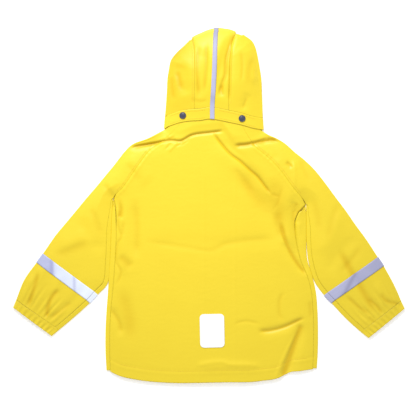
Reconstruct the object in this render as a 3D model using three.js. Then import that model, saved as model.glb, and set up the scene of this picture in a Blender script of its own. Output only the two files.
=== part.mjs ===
// Kids raincoat of coated cloth, laid flat on its front with the back up.
// Millimetres. +Z up, floor at z = 0, +Y towards the hood, origin under the middle.
import * as THREE from 'three';

// Named sizes
const wall = 1.2;        // coated cloth with its seam turnings
const tape = 0.7;        // reflective tape
const shiftX = 1.0;      // brings the middle of the outline to the origin
const shiftY = 0.6;
const seamGap = 0.4;     // between two pieces that are sewn edge to edge
const layGap = 0.35;     // between two layers that lie on each other
const turnOut = 0.8;     // silhouette to the middle of the turned cloth
const turnIn = 1.2;      // half width of a side fold
const low = 0.6;         // middle of the lowest layer
const stripWide = 7;     // seam to side fold, seen from the back
const bandDrop = tape + layGap;
const flapLeft = -11;
const flapRight = 51;
const flapTop = 97;
const flapLevel = 1.75;
const overFlap = flapLevel + wall + layGap;
const yellow = 0xf7df2c;
const silver = 0xc9c9e2;
const navy = 0x3a4058;

// Sleeve sections from the neck (row 0) to the cuff seam (row 16).
// Overarm fold x y, back raglan then underarm fold x y, front raglan then underarm fold x y
const sleeveLeft = [
  [-62, 178, -50, 172, -54, 122],
  [-84, 155.5, -68, 153, -69, 112],
  [-104, 143.5, -84, 136, -85, 101],
  [-125, 133, -103, 123, -101, 89],
  [-152, 123, -121, 108, -117, 76],
  [-169, 108, -138, 86, -134, 62],
  [-190, 81, -156, 60, -152, 46],
  [-209, 58, -174, 34, -171, 30],
  [-228, 35, -193, 14, -193, 14],
  [-247, 13, -196, -30, -196, -30],
  [-265, -9, -197, -72, -197, -72],
  [-285, -33, -199, -115, -199, -115],
  [-309, -62, -205, -156, -205, -156],
  [-333, -97, -224, -179, -224, -179],
  [-346, -115, -240, -196, -240, -196],
  [-371, -150, -272, -225, -272, -225],
  [-387, -190, -303, -251, -303, -251],
];
const sleeveRight = [
  [80, 176, 60, 171, 75, 115],
  [98, 155, 68, 154, 88, 103],
  [116, 142, 79, 135, 101, 91],
  [134, 134, 93, 116, 115, 79],
  [152, 123, 110, 102, 129, 66],
  [171, 106, 127, 87, 144, 52],
  [192, 89, 146, 65, 159, 37],
  [213, 68, 167, 36, 176, 20],
  [235, 40, 195, 2, 195, 2],
  [254, 14, 196.5, -34, 196.5, -34],
  [273, -11, 197, -72, 197, -72],
  [293, -40, 199, -112, 199, -112],
  [315, -70, 210, -152, 210, -152],
  [337, -104, 230, -180, 230, -180],
  [349, -122, 245, -196, 245, -196],
  [370, -160, 275, -228, 275, -228],
  [384, -192, 305, -255, 305, -255],
];
const underRow = 8;
const bandFrom = 13;
const bandTo = 14;

// Body sections from the hem (row 0) to the underarms (row 9).
// Left fold x y and seam inset, right fold x y and seam inset
const bodySides = [
  [-206, -331, 6, 215, -327, 6],
  [-208, -292, 7, 217, -292, 7],
  [-208, -252, 7, 217.5, -252, 7],
  [-206, -212, 7, 216.5, -214, 7],
  [-203, -172, 8, 212, -176, 7],
  [-200.5, -136, 9, 202, -140, 8],
  [-198.5, -100, 9, 195.5, -106, 12],
  [-197, -62, 9, 194, -68, 19],
  [-195.5, -24, 7, 194, -30, 20],
  [-191.5, 12, 2, 193, 0, 4],
];

// Lower edge of the back: x, y
const hem = [
  [-207, -328], [-193, -336], [-179, -342], [-159, -347], [-119, -353], [-69, -356], [-19, -355.5],
  [31, -354.5], [81, -354], [105, -351.5], [131, -348], [151, -340], [163, -334], [181, -332], [217, -327],
];

// Hood sections from the top of its band to the crown.
// Outer fold x y, seam to the centre strip x y, face edge or lower seam x y
const hoodLeftRows = [
  [-89, 176.5, -30, 193, -19, 124],
  [-87, 200, -30, 213, -31, 160],
  [-85, 230, -30, 238, -43, 205],
  [-84, 252, -30, 259, -46, 243],
  [-81, 272, -30, 279, -45, 270],
  [-77, 290, -30, 299, -42, 289],
  [-66, 305, -31, 313, -38, 303],
  [-51, 319, -33, 325, -37, 316],
  [-39, 331, -35, 332.5, -36, 329],
];
const hoodRightRows = [
  [107, 174.8, 39, 190, 43, 124],
  [106, 198, 39, 210, 50, 160],
  [105, 230, 39.5, 238, 59, 205],
  [104, 252, 40, 262, 62, 243],
  [101, 273, 40.5, 284, 61, 270],
  [97.5, 293, 42, 304, 58, 290],
  [93, 313, 44, 321, 56, 306],
  [85, 329, 48, 333, 55, 320],
  [67, 342, 53, 343, 56, 337],
];
// Neck edge of the hood on the back: x, y
const hoodArc = [
  [-91, 153.2], [-83, 157], [-69, 162], [-59, 165], [-39, 168], [-19, 169], [0, 172], [17, 170], [41, 165],
  [65, 160], [85, 154.4], [101, 151.6], [109, 150.8],
];
// Neck edge of the hood underneath: x, y
const hoodUnder = [[-91, 153.2], [-80, 134], [-60, 116], [-14, 100], [38, 100], [78, 112], [98, 130], [109, 150.9]];
const hoodBandWide = 23.5;
// Crown of the centre strip: x, y
const crown = [[-36, 335], [-28, 340], [-19, 344], [-5, 350], [9, 354], [19, 355], [31, 353.5], [41, 352], [54, 347]];
// Left edge of the hood tape by height: y, x
const tapeLine = [[160, 1.2], [200, 1.4], [212, 2.2], [230, 3.2], [270, 5.2], [310, 6.8], [355, 9.4]];
const tapeWide = 8.8;

// Main folds of the cloth.
// Start x y, end x y, bend, height, half width right of the line, half width left of it
const folds = [
  [7, 146, 125, 20, 4, -2.6, 9, 9],
  [0, 120, 118, 10, 6, 1.2, 16, 16],
  [48, 84, 154, -84, 16, -3.6, 24, 17],
  [146, -60, 199, -138, -4, -3.2, 11, 9],
  [168, 26, 186, -122, -6, -4.2, 12, 7],
  [186, -230, 146, -352, 4, -3.4, 12, 10],
  [92, -254, 196, -226, -6, -2.0, 9, 7],
  [-32, -324, 108, -326, 4, 1.2, 10, 10],
  [-150, 16, -146, -112, -4, -1.8, 11, 11],
  [-139, -68, 170, -66, -8, -0.7, 14, 14],
  [-200, -200, -177, -266, 5, -1.6, 9, 9],
  [-172, 96, -120, 40, 8, 1.0, 16, 16],
  [-186, 12, -176, -150, 8, 1.4, 8, 10],
  [-356, -200, -318, -112, 8, 1.6, 9, 9],
  [-322, -222, -290, -130, 6, 1.5, 9, 9],
  [-304, -214, -240, -150, -6, -1.4, 9, 9],
  [-306, -90, -214, -66, 6, 1.2, 12, 18],
  [-262, -20, -208, -96, -6, -1.2, 12, 12],
  [352, -212, 306, -128, -6, 1.6, 9, 9],
  [384, -206, 330, -150, 6, 1.4, 9, 9],
  [318, -232, 262, -168, 6, -1.4, 9, 9],
  [262, -6, 214, -100, 8, 1.4, 14, 14],
  [300, -60, 232, -140, -8, -1.2, 12, 12],
  [168, 92, 190, 20, -4, 1.4, 9, 9],
  [98, 134, 138, 84, 4, -1.2, 8, 10],
];
const hoodFolds = [
  [52, 350, 18, 208, -10, -4.0, 9, 12],
  [44, 320, 38, 200, -4, -2.2, 8, 8],
  [-12, 322, -24, 206, 4, -2.4, 9, 9],
  [-64, 286, -48, 214, 6, -2.6, 14, 12],
  [76, 226, 66, 186, 2, -1.2, 9, 9],
  [78, 322, 84, 236, 8, 2.0, 18, 14],
];

function clamp(value, from, to) {
  return Math.min(Math.max(value, from), to);
}

function smooth(value) {
  const t = clamp(value, 0, 1);
  return t * t * (3 - 2 * t);
}

function mix(a, b, t) {
  return a + (b - a) * t;
}

// One row of a table at a fractional row number, on a smooth curve through the rows
function along(rows, f) {
  const last = rows.length - 1;
  const i = clamp(Math.floor(f), 0, last - 1);
  const t = f - i;
  const p0 = rows[Math.max(i - 1, 0)];
  const p1 = rows[i];
  const p2 = rows[i + 1];
  const p3 = rows[Math.min(i + 2, last)];
  return p1.map((_, k) => 0.5 * (2 * p1[k] + (p2[k] - p0[k]) * t
    + (2 * p0[k] - 5 * p1[k] + 4 * p2[k] - p3[k]) * t * t
    + (3 * p1[k] - p0[k] - 3 * p2[k] + p3[k]) * t * t * t));
}

// Second column of a table against its first, straight between rows
function against(rows, x) {
  let i = 0;
  while (i < rows.length - 2 && x > rows[i + 1][0]) i += 1;
  const t = clamp((x - rows[i][0]) / (rows[i + 1][0] - rows[i][0]), 0, 1);
  return mix(rows[i][1], rows[i + 1][1], t);
}

// Unit normal in the plane of two table columns, turned to the side asked for
function sideways(rows, f, column, side) {
  const last = rows.length - 1;
  const a = along(rows, Math.max(f - 0.2, 0));
  const b = along(rows, Math.min(f + 0.2, last));
  const dx = b[column] - a[column];
  const dy = b[column + 1] - a[column + 1];
  const size = Math.hypot(dx, dy);
  return [-dy / size * side, dx / size * side];
}

// Fold edges that the height of the top layer falls towards
function edgeLines() {
  const lines = [];
  const pick = (rows, column, from, to) => {
    const line = [];
    for (let f = from; f <= to + 1e-6; f += 0.5) {
      const row = along(rows, f);
      line.push([row[column], row[column + 1]]);
    }
    lines.push(line);
  };
  pick(sleeveLeft, 0, 0, 16);
  pick(sleeveLeft, 4, underRow, 16);
  pick(bodySides, 0, 0, 9);
  pick(bodySides, 3, 0, 9);
  pick(sleeveRight, 4, underRow, 16);
  pick(sleeveRight, 0, 0, 16);
  return lines;
}

function hoodLine() {
  const line = [];
  line.push([-91, 153]);
  hoodLeftRows.forEach((row) => line.push([row[0], row[1]]));
  crown.forEach((point) => line.push(point));
  [...hoodRightRows].reverse().forEach((row) => line.push([row[0], row[1]]));
  line.push([108, 149]);
  return [line];
}

const bodyEdges = edgeLines();
const hoodEdges = hoodLine();

function distance(lines, x, y) {
  let best = 1e9;
  for (const line of lines) {
    for (let i = 0; i + 1 < line.length; i += 1) {
      const [ax, ay] = line[i];
      const dx = line[i + 1][0] - ax;
      const dy = line[i + 1][1] - ay;
      const t = clamp(((x - ax) * dx + (y - ay) * dy) / (dx * dx + dy * dy), 0, 1);
      best = Math.min(best, Math.hypot(x - ax - t * dx, y - ay - t * dy));
    }
  }
  return best;
}

function foldHeight(rows, x, y) {
  let sum = 0;
  for (const [x0, y0, x1, y1, bend, height, right, left] of rows) {
    const size = Math.hypot(x1 - x0, y1 - y0);
    const ux = (x1 - x0) / size;
    const uy = (y1 - y0) / size;
    const a = ((x - x0) * ux + (y - y0) * uy) / size;
    if (a > 0 && a < 1) {
      const b = (y - y0) * ux - (x - x0) * uy - bend * 4 * a * (1 - a);
      const wide = b > 0 ? left : right;
      sum += height * smooth(a / 0.25) * smooth((1 - a) / 0.25) * Math.exp(-b * b / (wide * wide));
    }
  }
  return sum;
}

// Middle of the lowest layer: lifted over the front flap and over the hood's neck edge
function bottomLevel(x, y) {
  const flap = smooth((x - flapLeft + 19) / 16) * smooth((flapRight + 19 - x) / 16);
  const overHood = smooth((y - against(hoodUnder, x) + 28 - Math.max(-99 - x, x - 117, 0) * 4) / 14);
  const ends = smooth((flapTop + 14 - y) / 11);
  return Math.max(mix(low, overFlap, flap * ends), mix(low, low + wall + layGap + 0.2, overHood));
}

// Middle of the hood's top layer
function hoodTop(x, y) {
  const d = Math.max(distance(hoodEdges, x, y) - 3, 0);
  const full = mix(9, 19, smooth((y - 165) / 90));
  const rise = 1 - (1 - clamp(d / 68, 0, 1)) ** 2.2;
  return 6.6 + full * rise + foldHeight(hoodFolds, x, y) * smooth(d / 14) * smooth((y - 176) / 24);
}

// Line of the shoulder folds below the hood: x, y
const shoulderFold = [
  [-160, 119], [-130, 122], [-105, 127], [-87, 131], [-57, 131], [-33, 142], [4, 147], [26, 150], [47, 122],
  [71, 120], [91, 124], [111, 130], [150, 128],
];

// Middle of the top layer of back, sleeves and collar
function bodyTop(x, y) {
  const d = Math.max(distance(bodyEdges, x, y) - 2, 0);
  const rise = 1 - (1 - clamp(d / 42, 0, 1)) ** 2.2;
  const full = mix(3.4, 5.6, smooth((y + 330) / 300)) + 1.2 * smooth((y + 40) / 120);
  const centre = smooth((x - flapLeft + 70) / 60) * smooth((flapRight + 70 - x) / 60) * smooth((180 - y) / 60);
  const base = low + 2 * turnIn + full * rise + centre * 1.2 * rise;
  const creased = base + foldHeight(folds, x, y) * smooth(d / 9);
  const least = bottomLevel(x, y) + wall + layGap + 0.25;
  const soft = least + Math.log(1 + Math.exp((creased - least) * 2.2)) / 2.2;
  const neck = smooth((y - against(shoulderFold, x) + 3) / 22);
  const underHood = hoodTop(x, y) - wall - layGap - 0.5;
  return Math.max(mix(soft, underHood, neck), least);
}

// Flat-sided turn of the cloth round a fold: angle 0 on top, PI underneath
function turned(edge, normal, angle, half, top, bottom) {
  const inset = turnOut + half * (1 - Math.sin(angle));
  const z = (top + bottom) / 2 + (top - bottom) / 2 * Math.cos(angle);
  return [edge[0] + normal[0] * inset, edge[1] + normal[1] * inset, z];
}

function lay(a, b, t) {
  return [mix(a[0], b[0], t), mix(a[1], b[1], t)];
}

// Normals of a grid of points, by the neighbours of each point
function gridNormals(grid) {
  const rows = grid.length;
  const columns = grid[0].length;
  return grid.map((row, j) => row.map((_, i) => {
    const a = row[Math.max(i - 1, 0)];
    const b = row[Math.min(i + 1, columns - 1)];
    const c = grid[Math.max(j - 1, 0)][i];
    const d = grid[Math.min(j + 1, rows - 1)][i];
    const u = new THREE.Vector3(b[0] - a[0], b[1] - a[1], b[2] - a[2]);
    const v = new THREE.Vector3(d[0] - c[0], d[1] - c[1], d[2] - c[2]);
    return u.cross(v).normalize();
  }));
}

function moved(grid, normals, offset) {
  return grid.map((row, j) => row.map((p, i) => {
    const n = normals[j][i];
    return [p[0] + n.x * offset, p[1] + n.y * offset, p[2] + n.z * offset];
  }));
}

const group = new THREE.Group();
group.name = 'kids_raincoat';

function addMesh(name, colour, points, faces) {
  const positions = points.map((p) => [p[0] + shiftX, p[1] + shiftY, p[2]]);
  let volume = 0;
  for (let k = 0; k < faces.length; k += 3) {
    const [a, b, c] = [faces[k], faces[k + 1], faces[k + 2]].map((i) => positions[i]);
    volume += a[0] * (b[1] * c[2] - b[2] * c[1]) - a[1] * (b[0] * c[2] - b[2] * c[0])
      + a[2] * (b[0] * c[1] - b[1] * c[0]);
  }
  if (volume < 0) {
    for (let k = 0; k < faces.length; k += 3) {
      const keep = faces[k];
      faces[k] = faces[k + 1];
      faces[k + 1] = keep;
    }
  }
  const geometry = new THREE.BufferGeometry();
  geometry.setAttribute('position', new THREE.Float32BufferAttribute(positions.flat(), 3));
  geometry.setIndex(faces);
  geometry.computeVertexNormals();
  const material = new THREE.MeshStandardMaterial({ color: colour, roughness: 0.5 });
  const mesh = new THREE.Mesh(geometry, material);
  mesh.name = name;
  group.add(mesh);
}

// Closed solid of a sheet: its two faces and the rim round its four edges
function addSheet(name, colour, grid, normals, thick) {
  const rows = grid.length;
  const columns = grid[0].length;
  const upper = moved(grid, normals, thick / 2).flat();
  const lower = moved(grid, normals, -thick / 2).flat();
  const count = rows * columns;
  const faces = [];
  const at = (j, i) => j * columns + i;
  for (let j = 0; j + 1 < rows; j += 1) {
    for (let i = 0; i + 1 < columns; i += 1) {
      const [a, b, c, d] = [at(j, i), at(j, i + 1), at(j + 1, i + 1), at(j + 1, i)];
      faces.push(a, b, c, a, c, d);
      faces.push(count + a, count + c, count + b, count + a, count + d, count + c);
    }
  }
  const rim = (a, b) => faces.push(b, a, count + a, b, count + a, count + b);
  for (let i = 0; i + 1 < columns; i += 1) {
    rim(at(0, i), at(0, i + 1));
    rim(at(rows - 1, i + 1), at(rows - 1, i));
  }
  for (let j = 0; j + 1 < rows; j += 1) {
    rim(at(j + 1, 0), at(j, 0));
    rim(at(j, columns - 1), at(j + 1, columns - 1));
  }
  addMesh(name, colour, upper.concat(lower), faces);
}

// Row numbers of a table, each step cut into the given count
function steps(from, to, cuts) {
  const list = [];
  for (let f = from; f < to - 1e-6; f += 1) {
    for (let k = 0; k < cuts; k += 1) list.push(f + k / cuts);
  }
  list.push(to);
  return list;
}

// Sleeve: top from the raglan seam out to the overarm fold, round it, underneath, and round the
// underarm fold to the seam on the back
const topParts = [0, 0.06, 0.15, 0.25, 0.35, 0.45, 0.55, 0.65, 0.75, 0.84, 0.92, 0.97, 1];
const underParts = [0, 0.08, 0.25, 0.5, 0.75, 0.92, 1];
const turnAngles = [Math.PI / 4, Math.PI / 2, 3 * Math.PI / 4];

function sleeveRow(rows, side, f, waves) {
  const row = along(rows, f);
  const a = [row[0], row[1]];
  const na = sideways(rows, f, 0, side);
  const outer = [a[0] + na[0] * (turnOut + turnIn), a[1] + na[1] * (turnOut + turnIn)];
  const edge = [row[4], row[5]];
  const ne = sideways(rows, Math.max(f, underRow + 0.3), 4, -side);
  const nb = sideways(rows, Math.min(f, underRow), 2, -side);
  const below = f > underRow + 1e-6;
  const strip = mix(1.5, stripWide, smooth((f - underRow) / 1.6));
  const inner = turnOut + turnIn;
  const hug = smooth((f - 11.9) / 0.9) * smooth((15.1 - f) / 0.9) * bandDrop;
  const topStart = below
    ? [edge[0] + ne[0] * (inner + strip + seamGap / 2), edge[1] + ne[1] * (inner + strip + seamGap / 2)]
    : [row[2] - nb[0] * -seamGap / 2, row[3] - nb[1] * -seamGap / 2];
  const nf = sideways(rows, Math.min(f, underRow), 4, -side);
  const underEnd = below
    ? [edge[0] + ne[0] * inner, edge[1] + ne[1] * inner]
    : [edge[0] + nf[0] * seamGap / 2, edge[1] + nf[1] * seamGap / 2];
  const lowAt = (p) => bottomLevel(p[0], p[1]) + hug;
  const points = [];
  topParts.forEach((t, k) => {
    const p = lay(topStart, outer, t);
    points.push([p[0], p[1], bodyTop(p[0], p[1]) + (waves ? waves(t, k) : 0)]);
  });
  const topZ = points[points.length - 1][2];
  turnAngles.forEach((angle) => {
    points.push(turned(a, na, angle, turnIn, topZ, lowAt(outer)));
  });
  underParts.forEach((t) => {
    const p = lay(outer, underEnd, t);
    points.push([p[0], p[1], lowAt(p)]);
  });
  if (below) {
    const p = [edge[0] + ne[0] * inner, edge[1] + ne[1] * inner];
    const z = bodyTop(p[0], p[1]);
    [...turnAngles].reverse().forEach((angle) => {
      points.push(turned(edge, ne, angle, turnIn, z, lowAt(p)));
    });
    points.push([p[0], p[1], z]);
    const s = [edge[0] + ne[0] * (inner + strip - seamGap / 2), edge[1] + ne[1] * (inner + strip - seamGap / 2)];
    points.push([s[0], s[1], bodyTop(s[0], s[1])]);
  } else {
    const back = points.length - 1;
    const from = points[back];
    const before = points[back - 1];
    const size = Math.hypot(before[0] - from[0], before[1] - from[1]);
    points.pop();
    for (let k = 5; k >= 0; k -= 1) {
      const t = Math.min(k * 1.1 / size, 0.16 * k);
      const p = lay(from, before, t);
      points.push([p[0], p[1], lowAt(p)]);
    }
  }
  return points;
}

const raglanSteps = steps(0, underRow, 1);
const armSteps = steps(underRow, 16, 1);
const sleeveSteps = [...raglanSteps, 8.35, 8.7, ...armSteps.slice(1, 5), 12.5, 13, 13.5, 14, 14.5, 15, 15.5, 16];

const normalsOf = {};
for (const [name, rows, side] of [['left', sleeveLeft, 1], ['right', sleeveRight, -1]]) {
  const grid = sleeveSteps.map((f) => sleeveRow(rows, side, f, null));
  const normals = gridNormals(grid);
  normalsOf[name] = { grid, normals, side };
  addSheet(`sleeve_${name}`, yellow, grid, normals, wall);
  const from = sleeveSteps.indexOf(bandFrom);
  const to = sleeveSteps.indexOf(bandTo);
  const part = grid.slice(from, to + 1);
  const partNormals = normals.slice(from, to + 1);
  const lifted = moved(part, partNormals, side * (wall / 2 + layGap + tape / 2));
  addSheet(`band_${name}`, silver, lifted, partNormals, tape);
}

// Elastic casing at the wrist, with its gathers
const cuffLeft = [[-387, -190, -303, -251], [-393, -205, -316, -262]];
const cuffRight = [[384, -192, 305, -255], [391, -207, 319, -266]];
const cuffWaves = 9;

function cuffRow(rows, side, v) {
  const shift = v === 0 ? seamGap : 0;
  const a = lay([rows[0][0], rows[0][1]], [rows[1][0], rows[1][1]], v);
  const b = lay([rows[0][2], rows[0][3]], [rows[1][2], rows[1][3]], v);
  const out = [rows[1][0] - rows[0][0], rows[1][1] - rows[0][1]];
  const size = Math.hypot(out[0], out[1]);
  const move = [out[0] / size * shift, out[1] / size * shift];
  const across = [b[0] - a[0], b[1] - a[1]];
  const wide = Math.hypot(across[0], across[1]);
  const n = [across[0] / wide, across[1] / wide];
  const inner = turnOut + turnIn;
  const put = (d) => [a[0] + n[0] * d + move[0], a[1] + n[1] * d + move[1]];
  const topAt = (d) => {
    const p = put(d);
    const ends = smooth((d - 3) / 8) * smooth((wide - d - 3) / 8);
    const wave = Math.sin(d / wide * Math.PI * 2 * cuffWaves + 0.6 * Math.sin(d / 11));
    const level = bodyTop(p[0], p[1]) + ends * smooth(v / 0.6) * (0.8 * wave - 0.4);
    return [p[0], p[1], Math.max(level, low + wall + layGap + 0.3)];
  };
  const points = [];
  const topFrom = wide - inner - stripWide - seamGap / 2;
  const topCuts = 36;
  for (let k = 0; k <= topCuts; k += 1) points.push(topAt(mix(topFrom, inner, k / topCuts)));
  const za = points[points.length - 1][2];
  turnAngles.forEach((angle) => points.push(turned(put(0), n, angle, turnIn, za, low)));
  for (let k = 0; k <= 6; k += 1) {
    const p = put(mix(inner, wide - inner, k / 6));
    points.push([p[0], p[1], low]);
  }
  const zb = topAt(wide - inner)[2];
  const back = [-n[0], -n[1]];
  [...turnAngles].reverse().forEach((angle) => points.push(turned(put(wide), back, angle, turnIn, zb, low)));
  points.push(topAt(wide - inner));
  points.push(topAt(wide - inner - stripWide + seamGap / 2));
  return points;
}

for (const [name, rows, side] of [['left', cuffLeft, 1], ['right', cuffRight, -1]]) {
  const grid = [0, 0.5, 1].map((v) => cuffRow(rows, side, v));
  addSheet(`cuff_${name}`, yellow, grid, gridNormals(grid), wall);
}

// Back panel: rows from the hem up the side seams, then up the raglan seams to the neck
function hemShift(x, y0, fade) {
  return (against(hem, x) - y0) * (1 - clamp(fade, 0, 1)) ** 2;
}

const lowSteps = steps(0, 9, 1);
const backRows = [];
for (const f of [0, 0.8, 1.2, 1.6, 2, 3, 3.5, 4, 4.5, 5, 5.5, 6, 6.5, 7, 7.5, 8, 8.5]) {
  const hollow = smooth((f - 7.2) / 1) * 1.2;
  const row = along(bodySides, f);
  const nl = sideways(bodySides, f, 0, -1);
  const nr = sideways(bodySides, f, 3, 1);
  const insetLeft = turnOut + turnIn + row[2] + seamGap / 2 + hollow;
  const insetRight = turnOut + turnIn + row[5] + seamGap / 2 + hollow;
  backRows.push([[row[0] + nl[0] * insetLeft, row[1] + nl[1] * insetLeft],
    [row[3] + nr[0] * insetRight, row[4] + nr[1] * insetRight], f]);
}
for (const f of [...raglanSteps].reverse()) {
  const a = along(sleeveLeft, f);
  const b = along(sleeveRight, f);
  const na = sideways(sleeveLeft, f, 2, -1);
  const nb = sideways(sleeveRight, f, 2, 1);
  const gap = seamGap / 2 + (f === underRow ? 1.6 : 0);
  backRows.push([[a[2] - na[0] * gap, a[3] - na[1] * gap], [b[2] - nb[0] * gap, b[3] - nb[1] * gap],
    9 + underRow - f]);
}
const backCuts = 28;
const backGrid = backRows.map(([left, right, f]) => {
  const row = [];
  for (let k = 0; k <= backCuts; k += 1) {
    const t = k / backCuts;
    const [x, yRow] = lay(left, right, t);
    const neck = 7 * 4 * t * (1 - t) * smooth((f - 12) / 5);
    const y = yRow + neck + hemShift(x, mix(backRows[0][0][1], backRows[0][1][1], t), f / 4);
    row.push([x, y, bodyTop(x, y)]);
  }
  return row;
});
addSheet('back', yellow, backGrid, gridNormals(backGrid), wall);

// Front panels: side seam on the back, round the side fold, then underneath to the front opening
const frontParts = [0, 1 / 6, 2 / 6, 3 / 6, 4 / 6, 5 / 6, 1];
const openingLeft = 9.8;
const openingRight = 10.2;

// Places across a front panel from its side to the opening, with one each side of the rise over the flap
function frontAcross(from, opening, side) {
  const foot = side > 0 ? flapLeft - 20 : flapRight + 20;
  const head = side > 0 ? flapLeft - 3 : flapRight + 3;
  const start = side > 0 ? Math.min(from + 4, foot) : Math.max(from - 4, foot);
  const wide = opening - from;
  const list = frontParts.map((t) => mix(0, (Math.abs(foot - from) < 6 ? start : foot) - from, t) / wide);
  return [...list, (head - from) / wide, 1];
}

// Rows at the armpit where the seam comes round the side fold to the underside
// Table place, angle round the fold at which the cloth starts, share of the way down to a plain fold
const unwinding = [
  [8.66, Math.PI / 3, 0.4],
  [8.82, 2 * Math.PI / 3, 0.8],
];

function frontGrid(side) {
  const column = side > 0 ? 0 : 3;
  const sleeve = side > 0 ? sleeveLeft : sleeveRight;
  const opening = side > 0 ? openingLeft : openingRight;
  const grid = [];
  const below = [0, 0.8, 1.6, 2, 3, 3.5, 4, 4.5, 5, 5.5, 6, 6.5, 7, 7.5, 8, 8.5];
  for (const f of below) {
    const row = along(bodySides, f);
    const edge = [row[column], row[column + 1]];
    const n = sideways(bodySides, f, column, -side);
    const inner = turnOut + turnIn;
    const put = (d) => [edge[0] + n[0] * d, edge[1] + n[1] * d];
    const shape = (p) => {
      const y = p[1] + (f < 4 ? hemShift(p[0], row[column + 1], f / 4) * (f === 0 ? 1 : 1) : 0);
      return [p[0], y];
    };
    const points = [];
    const seam = put(inner + row[column + 2] - seamGap / 2);
    points.push([seam[0], seam[1], bodyTop(seam[0], seam[1])]);
    const p = put(inner);
    const z = bodyTop(p[0], p[1]);
    points.push([p[0], p[1], z]);
    turnAngles.forEach((angle) => points.push(turned(edge, n, angle, turnIn, z, low)));
    const centre = [opening, row[column + 1]];
    const parts = frontAcross(p[0], opening, side);
    parts.forEach((t) => {
      const q = lay(p, centre, t);
      const s = shape(q);
      const keep = mix(q[1], s[1] + (1 - clamp(f / 4, 0, 1)) * 2.5, smooth(t * 8));
      points.push([q[0], keep, bottomLevel(q[0], keep)]);
    });
    grid.push(points);
  }
  for (const [f, turn, share] of unwinding) {
    const row = along(bodySides, f);
    const edge = [row[column], row[column + 1]];
    const n = sideways(bodySides, f, column, -side);
    const p = [edge[0] + n[0] * (turnOut + turnIn), edge[1] + n[1] * (turnOut + turnIn)];
    const z = mix(bodyTop(p[0], p[1]), low + 2 * turnIn, share);
    const points = [];
    for (let k = 0; k < 5; k += 1) {
      points.push(turned(edge, n, mix(turn, Math.PI, k / 5), turnIn, z, low));
    }
    frontAcross(p[0], opening, side).forEach((t) => {
      const q = lay(p, [opening, row[column + 1]], t);
      points.push([q[0], q[1], bottomLevel(q[0], q[1])]);
    });
    grid.push(points);
  }
  for (const f of [...raglanSteps].reverse()) {
    const row = along(sleeve, f);
    const nf = sideways(sleeve, f, 4, -side);
    const from = [row[4] - nf[0] * seamGap / 2, row[5] - nf[1] * seamGap / 2];
    const centreY = mix(104, 10, f / underRow);
    const centre = [opening, centreY];
    const size = Math.hypot(centre[0] - from[0], centre[1] - from[1]);
    const points = [];
    for (let k = 0; k < 5; k += 1) {
      const q = lay(from, centre, k * 1.2 / size);
      points.push([q[0], q[1], bottomLevel(q[0], q[1])]);
    }
    const begin = lay(from, centre, 6 / size);
    frontAcross(begin[0], opening, side).forEach((t) => {
      const q = lay(begin, centre, t);
      points.push([q[0], q[1], bottomLevel(q[0], q[1])]);
    });
    grid.push(points);
  }
  return grid;
}
for (const [name, side] of [['left', 1], ['right', -1]]) {
  const grid = frontGrid(side);
  addSheet(`front_${name}`, yellow, grid, gridNormals(grid), wall);
}

// Flap over the front opening, and its snaps
const flapGrid = [];
for (let j = 0; j <= 7; j += 1) {
  const row = [];
  for (let i = 0; i <= 3; i += 1) {
    const x = mix(flapLeft, flapRight, i / 3);
    row.push([x, mix(-349, flapTop, j / 7), flapLevel]);
  }
  flapGrid.push(row);
}
addSheet('front_flap', yellow, flapGrid, gridNormals(flapGrid), wall);

// Domed snap cap: ring of sections from its foot to its crown, on a tilted frame
const capProfile = [[0.93, 0], [1, 0.25], [0.97, 0.6], [0.8, 0.86], [0.45, 0.98]];

function addSnap(name, centre, normal, radius, height, segments) {
  const up = new THREE.Vector3(...normal).normalize();
  const first = new THREE.Vector3(1, 0, 0).addScaledVector(up, -up.x).normalize();
  const second = new THREE.Vector3().crossVectors(up, first);
  const positions = [];
  const place = (r, angle, h) => {
    const p = new THREE.Vector3(...centre)
      .addScaledVector(first, r * Math.cos(angle))
      .addScaledVector(second, r * Math.sin(angle))
      .addScaledVector(up, h);
    return [p.x, p.y, p.z];
  };
  const faces = [];
  for (const [r, h] of capProfile) {
    for (let k = 0; k < segments; k += 1) {
      positions.push(place(r * radius, k / segments * Math.PI * 2, h * height));
    }
  }
  const foot = positions.push(place(0, 0, 0)) - 1;
  const top = positions.push(place(0, 0, height)) - 1;
  for (let k = 0; k < segments; k += 1) {
    const next = (k + 1) % segments;
    faces.push(foot, next, k);
    for (let j = 0; j + 1 < capProfile.length; j += 1) {
      const a = j * segments;
      const b = (j + 1) * segments;
      faces.push(a + k, a + next, b + next, a + k, b + next, b + k);
    }
    const lastRing = (capProfile.length - 1) * segments;
    faces.push(top, lastRing + k, lastRing + next);
  }
  addMesh(name, navy, positions, faces);
}
[60, -28, -116, -204, -292].forEach((y, k) => {
  addSnap(`flap_snap_${k + 1}`, [29, y, flapLevel - wall / 2 - 0.3], [0, 0, -1], 6.5, 0.82, 10);
});

// Collar, from the front opening round both neck folds.
// Lower edge x y, upper edge x y
const collarUnderLeft = [[8, 104.6, 8, 139], [-22, 113.8, -12, 143], [-53, 123, -32, 156], [-57, 150, -46, 184],
  [-61, 178.6, -60, 212]];
const collarTop = [[-61, 179, -60, 212], [-49.6, 172.8, -46, 209], [-24, 178, -22, 212], [5, 180, 5, 213],
  [34, 178.6, 33, 212], [60, 172, 60, 207], [80, 176.8, 79, 210]];
const collarUnderRight = [[79.4, 176.6, 78, 210], [76, 148, 64, 182], [73.6, 117, 54, 152], [42, 111, 34, 142],
  [12, 104.8, 12, 139]];

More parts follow.
